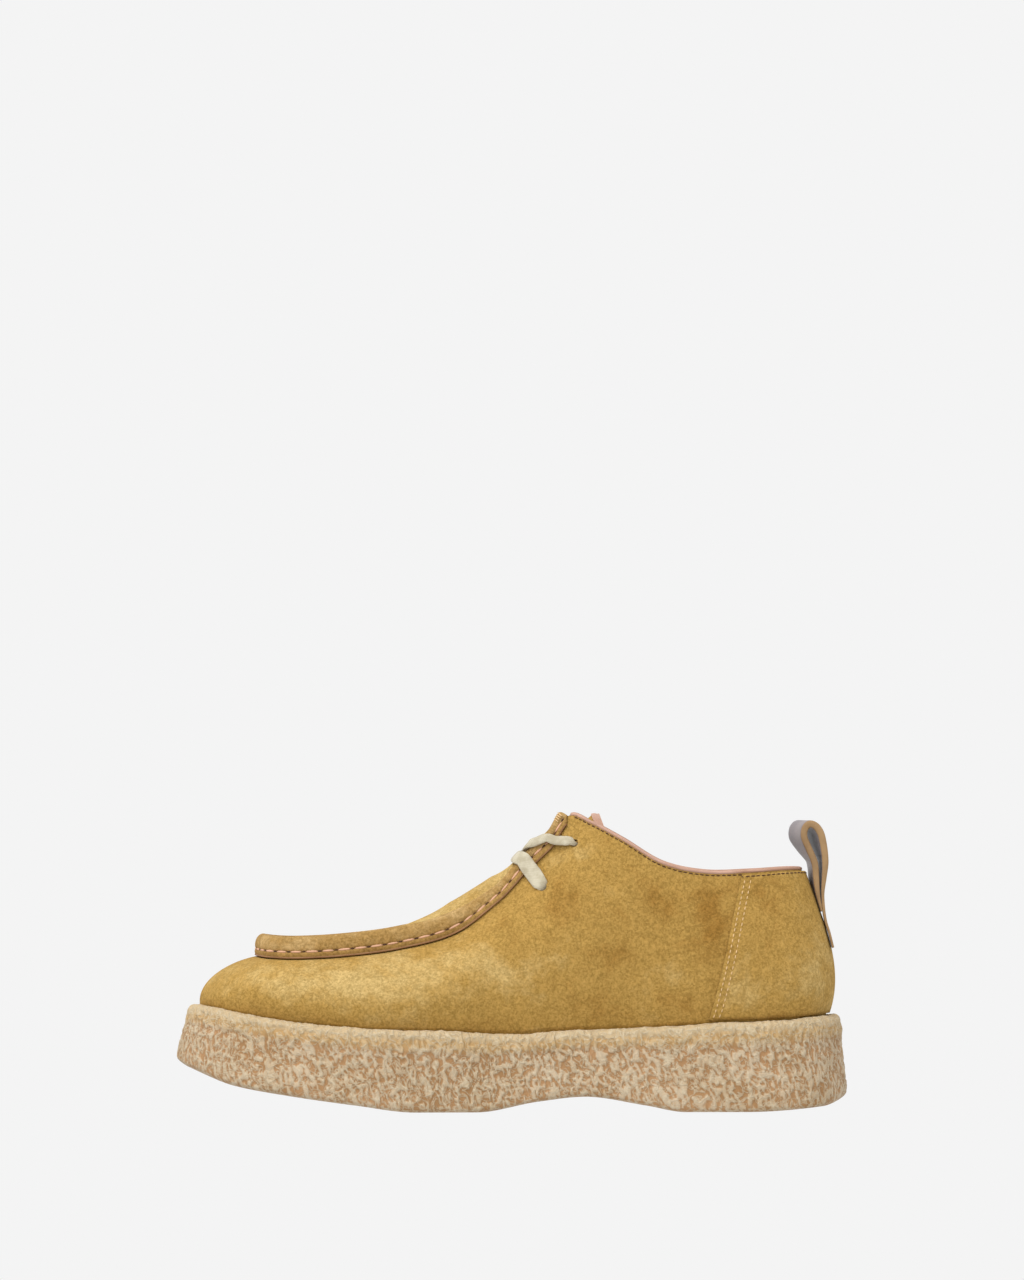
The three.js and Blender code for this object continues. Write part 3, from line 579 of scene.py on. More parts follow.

# %% [markdown]
# The suede has darker and paler places. Some come from the brushed nap; others are painted light and shade:
# dark under the lace crossing and low along the foot near the sole, pale on the toe. They are put where the
# photo shows them, as soft ovals seen from the side, the same on both sides of the shoe.

# %% Darker and paler places
SHADE_STRENGTH = 1.0
SHADE_COLUMNS = ("x", "z", "long", "high", "amount")
NAP_AND_PAINTED_LIGHT_SPOTS = [dict(zip(SHADE_COLUMNS, row)) for row in (
    # painted shade under the lace crossing
    (22, 94, 11, 13, -0.55),
    (70, 96, 22, 9, -0.35),
    (90, 86, 7, 18, -0.45),
    (45, 99, 14, 8, 0.3),
    (76, 61, 11, 6, 0.45),
    (45, 72, 22, 8, -0.4),
    (18, 69, 14, 6, 0.35),
    # painted light on the toe
    (-85, 58, 36, 9, 0.6),
    (-38, 63, 26, 10, 0.35),
    # this and the next: painted shade low along the foot, near the sole
    (16, 42, 60, 6, -0.15),
    (64, 49, 30, 8, -0.15),
    (115, 90, 9, 14, -0.45),
    (136, 57, 6, 13, 0.5),
    (101, 53, 9, 12, 0.3),
    (-137, 46, 12, 10, -0.3),
)]


def shade_at(points):
    points = np.asarray(points, float).reshape(-1, 3)
    total = np.zeros(len(points))
    for spot in NAP_AND_PAINTED_LIGHT_SPOTS:
        far = ((points[:, 0] - spot["x"]) / spot["long"]) ** 2
        near = np.exp(-far - ((points[:, 2] - spot["z"]) / spot["high"]) ** 2)
        total += SHADE_STRENGTH * spot["amount"] * near
    return total


print(len(NAP_AND_PAINTED_LIGHT_SPOTS), "darker and paler places")


# %% Crepe, leathers and lace
def crepe():
    """Pits and crumbs, and the height on the sole's side, are marks of the mesh."""
    material, tree, shader, where = new_material("natural_crepe", Roughness=0.6, Specular_IOR_Level=0.3)
    crumb = attribute(tree, "crumb")
    height = attribute(tree, "height")
    tone = ramp(tree, noise_at(tree, where, 45.0, 3), 0.35, 0.65)
    pits = mixed(tree, tone, colour(148, 112, 72), colour(162, 124, 84))
    crumbs = mixed(tree, tone, colour(174, 152, 121), colour(184, 164, 136))
    worn = mixed(tree, ramp(tree, crumb, 0.2, 0.85), pits, crumbs)
    under_lip = sums(tree, "MULTIPLY", ramp(tree, height, 0.72, 0.9), 0.6)
    yellow = mixed(tree, under_lip, worn, colour(182, 150, 98))
    lip = mixed(tree, sums(tree, "MULTIPLY", ramp(tree, height, 0.92, 0.99), 0.75), yellow,
                colour(186, 166, 132))
    worms = add_node(tree, "ShaderNodeTexNoise", {
        "Vector": where, "Scale": 220.0, "Detail": 1.5, "Roughness": 0.5, "Distortion": 1.6}).outputs["Fac"]
    ridge = sums(tree, "ABSOLUTE", sums(tree, "SUBTRACT", worms, 0.5), 0.0)
    curl = ramp(tree, ridge, 0.075, 0.012)
    curled = mixed(tree, sums(tree, "MULTIPLY", curl, 0.5), lip, colour(190, 178, 152))
    fine = noise_at(tree, where, 1300.0, 3, 0.7)
    tree.links.new(mixed(tree, ramp(tree, fine, 0.35, 0.7), curled,
                         mixed(tree, 1.0, curled, (1.12, 1.11, 1.1, 1), "MULTIPLY")),
                   shader.inputs["Base Color"])
    rises = sums(tree, "ADD", sums(tree, "MULTIPLY", curl, 0.8), sums(tree, "MULTIPLY", crumb, 1.2))
    bump(tree, shader, sums(tree, "ADD", fine, rises), 0.0004, 0.7)
    return material


def leather(name, body, dark, rough=0.5, scale=900.0):
    material, tree, shader, where = new_material(name, Roughness=rough, Specular_IOR_Level=0.35)
    cells = add_node(tree, "ShaderNodeTexVoronoi", {"Vector": where, "Scale": scale},
                     feature="DISTANCE_TO_EDGE").outputs["Distance"]
    tone = ramp(tree, noise_at(tree, where, 70.0, 3), 0.3, 0.7)
    tree.links.new(mixed(tree, tone, dark, body), shader.inputs["Base Color"])
    bump(tree, shader, ramp(tree, cells, 0.0, 0.25), 0.00012, 0.5)
    return material


def woven(name, body, dark):
    material, tree, shader, where = new_material(name, Roughness=0.85, Specular_IOR_Level=0.2,
                                                 Sheen_Weight=0.2)
    on_band = add_node(tree, "ShaderNodeCombineXYZ", {"X": attribute(tree, "lace_along"),
                                                      "Y": attribute(tree, "lace_across")}).outputs[0]
    rows = add_node(tree, "ShaderNodeTexWave", {"Vector": on_band, "Scale": 0.55, "Distortion": 1.5},
                    bands_direction="DIAGONAL").outputs["Fac"]
    tone = ramp(tree, noise_at(tree, where, 240.0, 3), 0.3, 0.7)
    base = mixed(tree, tone, dark, body)
    tree.links.new(mixed(tree, sums(tree, "MULTIPLY", rows, 0.3), base, dark), shader.inputs["Base Color"])
    bump(tree, shader, rows, 0.0001, 0.5)
    return material


crepe_rubber = crepe()
trim_leather = leather("trim_leather", colour(188, 150, 130), colour(164, 124, 102))
cut_edge = leather("cut_edge", colour(152, 112, 76), colour(126, 88, 54), 0.7)
lining_leather = leather("lining_leather", colour(206, 172, 136), colour(188, 152, 114), 0.6)
strap_edge = leather("strap_edge", colour(160, 128, 88), colour(128, 100, 66), 0.6)
strap_face = leather("strap_face", colour(138, 127, 126), colour(116, 107, 110), 0.35)
lace_cotton = woven("lace_cotton", colour(194, 186, 164), colour(168, 158, 134))
thread = new_material("pink_thread", Base_Color=colour(206, 160, 128), Roughness=0.7)[0]
pale_thread = new_material("pale_thread", Base_Color=colour(214, 180, 132), Roughness=0.7)[0]
# Dark brown for the shade inside stitch holes: painted shade. The collar row uses it too.
hole_shade = new_material("painted_hole_shade", Base_Color=colour(74, 44, 24), Roughness=0.9)[0]
print("finishes ready")

# %% [markdown]
# ## Crepe sole
#
# Natural crepe is coagulated rubber, cut as a slab. Its cut side is knobbly: pale worm-like crumbs over
# darker pits. The slab's form comes from the tables, and small bumps move the points of a fine mesh, so
# that the lip has a true uneven outline. The finest crumbs are left to the material.

# %% Sole form
SOLE_STATIONS = 1160
SIDE_ROWS = 40
LIP_BULGE = 1.1
TOE_PULL = 1.9
TOE_PULL_PLACES = (-140, -105)
EVEN_CRUMB = 0.55
CRUMB_TILT = math.radians(105)


def sole_rings():
    """(inset, share of the height, lift, how much relief) from the foot to the ledge."""
    foot = [(FOOT_ROUND * (1 - math.sin(a)), 0, FOOT_ROUND * 0.4 * (1 - math.cos(a)), 0.5)
            for a in np.linspace(0, math.pi / 2, 6)]
    side = []
    for share in np.linspace(0.1, 1, SIDE_ROWS):
        pulled = FLARE * (0.45 * smooth_step(share, 0.1, 0.6) + 0.55 * smooth_step(share, 0.5, 1.1))
        pulled -= LIP_BULGE * smooth_step(share, 0.68, 0.92)
        side.append((pulled, share, -LIP_ROUND * smooth_step(share, 0.5, 1), 1))
    start = FLARE - LIP_BULGE
    lip = [(start + (LIP_ROUND + LIP_BULGE) * (1 - math.cos(a)), 1, -LIP_ROUND * (1 - math.sin(a)), 1)
           for a in np.linspace(0.2, math.pi / 2, 6)]
    ledge = [(FLARE + LIP_ROUND + step, 1, 0, 0.6) for step in (0.7, 1.4, 2.2, 3.2, 4.6, 6)]
    deep = [(FOOT_ROUND + step, 0, 0, 0.3) for step in (6, 3, 1.2)]
    return deep + foot + side + lip + ledge


def crumb_at(point):
    """Pit (0) or crumb (1) of the crepe: short strokes that lean one way, bent by a slower noise."""
    x, y, z = point
    bend = noise.noise_vector(Vector((x, y, z)) * 0.2) * 1.2
    along = (x * math.cos(CRUMB_TILT) + z * math.sin(CRUMB_TILT)) * 0.32
    over = (z * math.cos(CRUMB_TILT) - x * math.sin(CRUMB_TILT)) * 0.64
    spot = Vector((along, y * 0.7, over)) + bend
    return float(smooth_step(noise.noise(spot) + 0.4 * noise.noise(spot * 2.3), -0.3, 0.32))


def crepe_sole():
    turns = np.arange(SOLE_STATIONS) / SOLE_STATIONS
    loops, crumbs, heights = [], [], []
    for inset, share, lift, relief in sole_rings():
        loop, outward = plan(turns, inset)
        at_toe = 1 - smooth_step(loop[:, 0], *TOE_PULL_PLACES)
        loop -= outward * (TOE_PULL * at_toe * smooth_step(share, 0.4, 1))[:, None]
        low = under_at(loop[:, 0])
        loop[:, 2] = low + share * (top_at(loop[:, 0]) - low) + lift
        crumb = np.array([crumb_at(point) for point in loop])
        knobs = np.array([noise.noise(Vector(point) * 0.22) for point in loop])
        rough = relief * (0.5 * (crumb - 0.6) + 0.5 * knobs * (0.5 + share))
        way = outward if 0 < share < 1 or 0 < lift else outward * 0.5 + UP * (0.8 if share == 1 else 0)
        loops.append(loop + way * rough[:, None])
        crumbs.append(crumb)
        heights.append(np.full(SOLE_STATIONS, share if share else lift / PLATFORM))
    points = np.concatenate(loops)
    count = len(loops)
    for flat in (0, count - 1):
        crumbs[flat] = np.full(SOLE_STATIONS, EVEN_CRUMB)
    faces = grid_faces(count, SOLE_STATIONS, close_columns=True)
    for base in (0, (count - 1) * SOLE_STATIONS):
        for i in range(SOLE_STATIONS // 2):
            near, far = base + i, base + (SOLE_STATIONS - i) % SOLE_STATIONS
            faces.append((near, far, base + SOLE_STATIONS - i - 1, base + i + 1))
    points[:, 2] = np.maximum(points[:, 2], 0)
    return mesh_object("crepe_sole", points, faces, crumb=np.concatenate(crumbs),
                       height=np.concatenate(heights))


hand_over(crepe_sole(), ["outsole"], "crepe", crepe_rubber)

# %% [markdown]
# ## Suede wrap
#
# One piece of suede goes right round the foot. Walking and the last leave soft creases in it, given here
# as short troughs and ridges along lines on the wrap. Its inside is the lining.

# %% Creases of the wrap
CREASE_COLUMNS = ("row", "level", "end_row", "end_level", "width", "depth")
CREASES = [dict(zip(CREASE_COLUMNS, line)) for line in (
    (10.6, 0.55, 9.2, 0.2, 0.11, -0.9),
    (11.6, 0.5, 10.2, 0.14, 0.1, 0.7),
    (9.2, 0.5, 8.2, 0.24, 0.1, -0.5),
    (7.4, 0.55, 6.2, 0.25, 0.12, 0.6),
    (5.6, 0.75, 5, 0.2, 0.13, -0.6),
)]


def crease_shift(row, level):
    total = np.zeros(np.broadcast(row, level).shape)
    for line in CREASES:
        start = np.array([line["row"] * 0.12, line["level"]])
        end = np.array([line["end_row"] * 0.12, line["end_level"]])
        along = end - start
        place = np.stack(np.broadcast_arrays(row * 0.12, level), -1) - start
        share = np.clip(place @ along / (along @ along), 0, 1)
        gap = np.linalg.norm(place - share[..., None] * along, axis=-1)
        ends = np.sin(np.pi * (0.12 + 0.76 * share))
        total = total + line["depth"] * ends * np.exp(-((gap / line["width"]) ** 2))
    return total


# %% Wrap form
WRAP_STATIONS = 504
WRAP_LEVELS = 44
WRAP_SUNK = 0.6


def suede_wrap():
    turns = (np.arange(WRAP_STATIONS) / WRAP_STATIONS)[:, None]
    levels = np.linspace(0, 1, WRAP_LEVELS + 1)[None, :]
    outer = wrap_point(turns, levels)
    normals = wrap_normal(turns, np.broadcast_to(levels, outer.shape[:2]))
    outer = outer + normals * crease_shift(row_of_turn(turns), levels)[..., None]
    outer[:, 0, 2] -= WRAP_SUNK
    inner = outer - normals * WALL
    points = np.concatenate([outer.reshape(-1, 3), inner.reshape(-1, 3)])
    columns = WRAP_LEVELS + 1
    size = WRAP_STATIONS * columns
    faces = grid_faces(WRAP_STATIONS, columns, close_rows=True)
    faces += grid_faces(WRAP_STATIONS, columns, start=size, close_rows=True)
    for i in range(WRAP_STATIONS):
        for column in (0, WRAP_LEVELS):
            a, b = i * columns + column, ((i + 1) % WRAP_STATIONS) * columns + column
            faces.append((a, b, b + size, a + size))
    made = mesh_object("suede_wrap", points, faces, shade=shade_at(points))
    inside = WRAP_STATIONS * WRAP_LEVELS
    made.data.materials.append(suede_body)
    made.data.materials.append(lining_leather)
    slots = np.zeros(len(made.data.polygons), int)
    slots[inside:2 * inside] = 1
    made.data.polygons.foreach_set("material_index", slots)
    return made


def eyelet_places():
    places = []
    for row, down in (LOWER_EYELET, UPPER_EYELET):
        for at in (row, 2 * TOE_ROW - row):
            turn = turn_of_row(at)
            level = level_below(turn, down)
            places.append((wrap_point(turn, level), wrap_normal(turn, level)))
    return places


def punch(made):
    drill = bmesh.new()
    for point, normal in eyelet_places():
        turned = Vector(normal).to_track_quat("Z", "Y").to_matrix().to_4x4()
        turned.translation = Vector(point * MM)
        bmesh.ops.create_cone(drill, cap_ends=True, segments=24, radius1=EYELET_RADIUS * MM,
                              radius2=EYELET_RADIUS * MM, depth=8 * MM, matrix=turned)
    mesh = bpy.data.meshes.new("drill")
    drill.to_mesh(mesh)
    drill.free()
    cutter = bpy.data.objects.new("drill", mesh)
    scene.collection.objects.link(cutter)
    add_modifier(made, "BOOLEAN", object=cutter, operation="DIFFERENCE", solver="EXACT")
    plain_mesh(made)
    bpy.data.objects.remove(cutter)
    return made


wrap = punch(suede_wrap())
hand_over(wrap, ["upper"], "suede")

# %% [markdown]
# ## Apron
#
# The apron is the flat tongue-shaped plug over the toes. It bulges a little, more towards the instep.

# %% Apron form
PLUG_FOOT = ((-0.4, 0.27), (-1.0, 0.58))
APRON_ROWS = 120
APRON_COLUMNS = 28
# The apron, facing up to the light, is painted paler all over: painted light.
APRON_PAINTED_LIGHT = 0.5


def crown_at(row):
    rows = np.arange(len(RIBS))
    return np.interp(row, rows, [rib["crown"] for rib in RIBS])


def apron():
    turns = np.linspace(turn_of_row(PLUG_ROW), 0.5, APRON_ROWS)
    sides = []
    for side_turns in (turns, 1 - turns):
        at = edge_frame(side_turns)
        sides.append([in_frame(at, out * SEAM_WIDTH, rise * SEAM_RISE) for out, rise in PLUG_FOOT])
    near, far = sides
    crown = INSTEP_HEIGHT * crown_at(row_of_turn(turns))
    columns = [near[0]]
    for share in np.linspace(0, 1, APRON_COLUMNS):
        line = near[1] + (far[1] - near[1]) * share
        line[:, 2] += crown * 4 * share * (1 - share)
        columns.append(line)
    columns.append(far[0])
    grid = np.stack(columns, 1)
    points = grid.reshape(-1, 3)
    made = mesh_object("apron", points, grid_faces(APRON_ROWS, len(columns)), merge=2e-5,
                       shade=np.full(len(points), APRON_PAINTED_LIGHT))
    add_modifier(made, "SOLIDIFY", thickness=WALL * MM, offset=-1)
    return made


hand_over(apron(), ["upper"], "suede", suede_body)

# %% [markdown]
# ## Raised seam
#
# The wrap and the apron are sewn edge to edge and stand up as a soft roll. Beside the throat the same
# roll lies flat on the quarter and ends in two tabs.

# %% Seam form
ROLL_GAP = CLEARANCE + 0.1
SEAM_SECTION = (
    (0.03, 0.03, CLEARANCE, -TAB_FLANGE),
    (0.08, 0.11, CLEARANCE + STRIP * 0.9, -TAB_FLANGE),
    (0.12, 0.2, CLEARANCE + STRIP * 1.25, -TAB_FLANGE * 0.75),
    (0.1, 0.29, CLEARANCE + STRIP * 1.2, -TAB_FLANGE * 0.35),
    (-0.01, 0.345, CLEARANCE + STRIP * 0.6, 0),
    (0.08, 0.41, STRIP * 1.7, TAB_ROLL * 0.22),
    (0.09, 0.58, STRIP * 2, TAB_ROLL * 0.48),
    (-0.02, 0.8, STRIP * 1.75, TAB_ROLL * 0.76),
    (-0.24, 0.95, STRIP, TAB_ROLL * 0.95),
    (-0.52, 1, 0, TAB_ROLL),
    (-0.8, 0.92, -WALL * 0.5, TAB_ROLL * 0.88),
    (-0.97, 0.72, -WALL * 0.85, TAB_ROLL * 0.55),
    (-0.9, 0.5, -WALL * 0.8, ROLL_GAP),
    (-0.39, 0.32, CLEARANCE, ROLL_GAP),
)
GROOVE = 4
SEAM_RINGS = 900
SECTION_STEPS = 3
END_ROUND = 2.4
# Painted light and shade on the seam: paler on the roll above the stitch groove, darker on the strip below
# it.
ROLL_PAINTED_LIGHT_AND_SHADE = 0.15


def seam_places(turns):
    at = edge_frame(turns, held_turn(turns, THROAT_GUIDE_ROW, TOE_ROW))
    places = []
    for out, rise, flat_out, flat_rise in SEAM_SECTION:
        standing = in_frame(at, out * SEAM_WIDTH, rise * SEAM_RISE)
        if flat_rise < 0:
            lying = on_wrap(turns, level_below(turns, -flat_rise), flat_out)
        else:
            lying = in_frame(at, flat_out, flat_rise)
        places.append(lying + (standing - lying) * at["vamp"])
    return np.stack(places, 1)


def apron_seam():
    turns = np.linspace(turn_of_row(TAB_ROW), 1 - turn_of_row(TAB_ROW), SEAM_RINGS)
    rings = seam_places(turns)
    count = len(SEAM_SECTION) * SECTION_STEPS
    shares = np.arange(count) / count
    fine = np.stack([closed_spline(ring, shares) for ring in rings])
    centres = fine.mean(axis=1, keepdims=True)
    gone = np.concatenate([[0], np.cumsum(np.linalg.norm(np.diff(centres[:, 0], axis=0), axis=1))])
    to_end = np.minimum(gone, gone[-1] - gone) / END_ROUND
    fine = centres + (fine - centres) * np.sqrt(np.clip(1 - (1 - to_end) ** 2, 0.05, 1)
                                                * (to_end < 1) + (to_end >= 1))[:, None, None]
    faces = grid_faces(SEAM_RINGS, count, close_columns=True)
    faces += [tuple(range(count)), tuple(range((SEAM_RINGS - 1) * count, SEAM_RINGS * count))]
    # painted light on the roll, painted shade on the strip below the groove
    upper_half = (shares * len(SEAM_SECTION) > GROOVE).astype(float)
    shade = np.tile(ROLL_PAINTED_LIGHT_AND_SHADE * (2 * upper_half - 1), SEAM_RINGS)
    return mesh_object("raised_seam", fine.reshape(-1, 3), faces, shade=shade)


hand_over(apron_seam(), ["apron_seam"], "suede", suede_seam)

# %% [markdown]
# The cut edge of the strip shows as a thin paler cord at its foot, all along the seam.

# %% Cut edge at the foot of the seam
def cord(name, centre, first, second, radius, sides=8):
    angles = np.linspace(0, 2 * math.pi, sides, endpoint=False)
    ring = [centre + first * math.cos(a) * radius + second * math.sin(a) * radius for a in angles]
    points = np.stack(ring, 1)
    faces = grid_faces(len(centre), sides, close_columns=True)
    faces += [tuple(range(sides)), tuple(range((len(centre) - 1) * sides, len(centre) * sides))]
    return mesh_object(name, points.reshape(-1, 3), faces)


EDGE_CORD = 0.42


def seam_edge():
    turns = np.linspace(turn_of_row(TAB_ROW + 0.1), 1 - turn_of_row(TAB_ROW + 0.1), 700)
    at = edge_frame(turns, held_turn(turns, THROAT_GUIDE_ROW, TOE_ROW))
    places = seam_places(turns)
    centre = places[:, 0] * 0.35 + places[:, 1] * 0.65
    return cord("seam_cut_edge", centre, at["out"], at["rise"], EDGE_CORD, 6)


hand_over(seam_edge(), ["apron_seam"], "trim", cut_edge)

# %% [markdown]
# ## Stitches
#
# The same small shape repeats along every seam, so a Geometry Nodes tree places it: an egg on every
# point of a bare mesh, turned by a mark on the point, sized by an input and slightly varied. It ends as
# plain mesh. The hand stitches of the apron lie in the groove, between awl holes drawn as dark eggs of
# painted shade.

# %% Tree for what repeats
def repeat_tree():
    tree = bpy.data.node_groups.new("repeated_egg", "GeometryNodeTree")
    for label, kind in (("Geometry", "NodeSocketGeometry"), ("Size", "NodeSocketVector"),
                        ("Vary", "NodeSocketFloat"), ("Seed", "NodeSocketInt"),
                        ("Material", "NodeSocketMaterial")):
        tree.interface.new_socket(label, in_out="INPUT", socket_type=kind)
    tree.interface.new_socket("Geometry", in_out="OUTPUT", socket_type="NodeSocketGeometry")
    given = tree.nodes.new("NodeGroupInput").outputs
    egg = add_node(tree, "GeometryNodeMeshUVSphere", {"Segments": 8, "Rings": 5, "Radius": 0.5})
    turned = add_node(tree, "GeometryNodeInputNamedAttribute", {"Name": "turned"},
                      data_type="FLOAT_VECTOR")
    least = add_node(tree, "ShaderNodeMath", {0: 1.0, 1: given["Vary"]}, operation="SUBTRACT")
    most = add_node(tree, "ShaderNodeMath", {0: 1.0, 1: given["Vary"]}, operation="ADD")
    chance = add_node(tree, "FunctionNodeRandomValue", {
        "Min": least.outputs[0], "Max": most.outputs[0], "Seed": given["Seed"]}, data_type="FLOAT")
    size = add_node(tree, "ShaderNodeVectorMath", {0: given["Size"]}, operation="SCALE")
    tree.links.new(named_output(chance, "Value"), size.inputs["Scale"])
    placed = add_node(tree, "GeometryNodeInstanceOnPoints", {
        "Points": given["Geometry"], "Instance": egg.outputs["Mesh"],
        "Rotation": turned.outputs[0], "Scale": size.outputs[0]})
    real = add_node(tree, "GeometryNodeRealizeInstances", {"Geometry": placed.outputs[0]})
    smooth = add_node(tree, "GeometryNodeSetShadeSmooth", {"Geometry": real.outputs[0]})
    done = add_node(tree, "GeometryNodeSetMaterial", {
        "Geometry": smooth.outputs[0], "Material": given["Material"]})
    tree.links.new(done.outputs[0], tree.nodes.new("NodeGroupOutput").inputs["Geometry"])
    return tree


def named_output(node, name):
    """The output in use, where a node has one of the same name for each kind of data."""
    return next(socket for socket in node.outputs if socket.name == name and socket.enabled)


REPEATED = repeat_tree()


def repeated(name, points, alongs, outs, size, material, nodes, slot, vary=0.08, seed=7):
    """Eggs at points in millimetres, long side along the seam, flat side against the surface."""
    mesh = bpy.data.meshes.new(name)
    mesh.from_pydata((np.asarray(points) * MM).tolist(), [], [])
    layer = mesh.attributes.new("turned", "FLOAT_VECTOR", "POINT")
    for spot, along, out in zip(layer.data, unit(np.asarray(alongs)), unit(np.asarray(outs))):
        side = unit(np.cross(out, along))
        spot.vector = Matrix(np.stack([along, side, np.cross(along, side)], 1).tolist()).to_euler()
    made = bpy.data.objects.new(name, mesh)
    scene.collection.objects.link(made)
    modifier = add_modifier(made, "NODES", node_group=REPEATED)
    given = {"Size": [part * MM for part in size], "Vary": vary, "Seed": seed, "Material": material}
    for item in REPEATED.interface.items_tree:
        if item.in_out == "INPUT" and item.name in given:
            modifier[item.identifier] = given[item.name]
    plain_mesh(made)
    return hand_over(made, nodes, slot)


# %% Apron stitches and holes
STITCH_PITCH = 7.3
HOLE_AT = -100.1


def groove_line(turns):
    at = edge_frame(turns, held_turn(turns, THROAT_GUIDE_ROW, TOE_ROW))
    return seam_places(turns)[:, GROOVE], at["along"], at["out"]


def along_line(line, first, pitch):
    """Numbers of the line's points at even lengths, with one at the point given first."""
    gone = np.concatenate([[0], np.cumsum(np.linalg.norm(np.diff(line, axis=0), axis=1))])
    start = gone[first] % pitch
    marks = np.arange(start, gone[-1], pitch)
    return np.searchsorted(gone, marks).clip(0, len(line) - 1)


def apron_stitches():
    turns = np.linspace(turn_of_row(TAB_ROW + 0.2), 1 - turn_of_row(TAB_ROW + 0.2), 4000)
    line, along, out = groove_line(turns)
    first = int(np.argmin(np.abs(line[:2000, 0] - HOLE_AT)))
    half = np.searchsorted(np.cumsum(np.linalg.norm(np.diff(line[first:], axis=0), axis=1)), STITCH_PITCH / 2)
    for name, at, size, material, lift in (
            # dark eggs in the groove: painted shade of the awl holes
            ("awl_hole_shade", along_line(line, first, STITCH_PITCH), (1.7, 1.6, 0.9), hole_shade, 0.1),
            ("apron_stitches", along_line(line, first + int(half), STITCH_PITCH), (5.9, 1.1, 1.1),
             thread, 0.3)):
        repeated(name, line[at] + out[at] * lift, along[at], out[at], size, material, ["apron_seam"], "trim")


apron_stitches()

# %% [markdown]
# ## Counter and piping
#
# The counter is a suede panel laid over the heel. A thin leather piping closes the top edge.

# %% Counter and piping
COUNTER_FOOT = 0.02
COUNTER_ROWS = 96
COUNTER_LEVELS = 40
PIPING_SUNK = 0.5
PIPING_ON = 0.2


def counter():
    shares = np.linspace(-1, 1, COUNTER_ROWS + 1)[:, None]
    places = np.linspace(0, 1, COUNTER_LEVELS + 1)[None, :]
    turns = shares * turn_of_row(COUNTER_LOW_ROW + (COUNTER_TOP_ROW - COUNTER_LOW_ROW) * places)
    tops = level_below(turns, COUNTER_MARGIN)
    levels = COUNTER_FOOT + (tops - COUNTER_FOOT) * places
    shift = crease_shift(row_of_turn(turns), levels)
    points = on_wrap(turns, levels, CLEARANCE + COUNTER_WALL + shift)
    made = mesh_object("counter_panel", points.reshape(-1, 3),
                       grid_faces(COUNTER_ROWS + 1, COUNTER_LEVELS + 1), shade=shade_at(points))
    add_modifier(made, "SOLIDIFY", thickness=COUNTER_WALL * MM, offset=-1)
    return made


def piping():
    turns = turn_of_row((PIPING_ROW + PIPING_ON) * np.linspace(-1, 1, 320))
    at = edge_frame(turns, held_turn(turns, 0, COLLAR_GUIDE_ROW))
    centre = in_frame(at, -WALL / 3, PIPING_RADIUS + CLEARANCE - PIPING_SUNK)
    return cord("collar_edge", centre, at["out"] * (WALL / 2 + 0.2) / PIPING_RADIUS, at["rise"],
                PIPING_RADIUS, 12)


hand_over(counter(), ["counter"], "suede", suede_body)
hand_over(piping(), ["collar_piping"], "trim", trim_leather)

# %% [markdown]
# Machine stitches: two fine pale rows behind the counter's front edge, a dark row below the piping, and a
# few strong ones that lock the top of each tab. The dark row is made in the painted hole shade, in dashes
# that almost join, so it is partly stitches and partly a painted shadow under the piping.

# %% Machine stitches
COUNTER_ROWS_BACK = (1.7, 4.5)
MACHINE_PITCH = 2.5
COLLAR_STITCH_DOWN = 0.7
TACKS = (8.22, 8.31, 8.4, 8.49)


def counter_stitches():
    places = np.linspace(0.02, 0.98, 400)
    points, alongs, outs = [], [], []
    for back in COUNTER_ROWS_BACK:
        for side in (-1, 1):
            front = turn_of_row(COUNTER_LOW_ROW + (COUNTER_TOP_ROW - COUNTER_LOW_ROW) * places)
            levels = COUNTER_FOOT + (level_below(front, COUNTER_MARGIN) - COUNTER_FOOT) * places
            step = np.linalg.norm(wrap_point(front, levels) - wrap_point(front - 1e-3, levels), axis=1)
            turns = -side * (front - back / step * 1e-3)
            line = on_wrap(turns, levels, CLEARANCE + COUNTER_WALL + 0.05)
            at = along_line(line, 3, MACHINE_PITCH)
            points.append(line[at])
            alongs.append(np.gradient(line, axis=0)[at])
            outs.append(wrap_normal(turns, levels)[at])
    repeated("counter_stitches", np.concatenate(points), np.concatenate(alongs), np.concatenate(outs),
             (1.7, 0.5, 0.5), pale_thread, ["counter"], "suede")


def collar_stitches():
    turns = turn_of_row(np.linspace(-7.8, 7.8, 3000))
    down = np.where(row_of_turn(turns) < COUNTER_TOP_ROW, COUNTER_MARGIN, 0) + COLLAR_STITCH_DOWN
    levels = level_below(turns, down)
    out = np.where(row_of_turn(turns) < COUNTER_TOP_ROW, CLEARANCE + COUNTER_WALL, 0) + 0.04
    line = on_wrap(turns, levels, out)
    at = along_line(line, 3, MACHINE_PITCH)
    # dark eggs close enough to join: stitches and a painted shadow under the piping
    repeated("collar_stitches", line[at], np.gradient(line, axis=0)[at], wrap_normal(turns, levels)[at],
             (2.2, 0.6, 0.4), hole_shade, ["collar_piping"], "trim")


def tab_tacks():
    points, alongs, outs = [], [], []
    for side in (-1, 1):
        for row in TACKS:
            turn = turn_of_row(row if side < 0 else 2 * TOE_ROW - row)
            at = edge_frame(turn, held_turn(turn, THROAT_GUIDE_ROW, TOE_ROW))
            points.append(in_frame(at, STRIP * 1.95, TAB_ROLL * 0.5))
            alongs.append(at["rise"])
            outs.append(at["out"])
    repeated("tab_tacks", points, alongs, outs, (3.4, 0.55, 0.8), pale_thread, ["apron_seam"], "suede")


counter_stitches()
collar_stitches()
tab_tacks()

# %% [markdown]
# ## Inside: insole and tongue

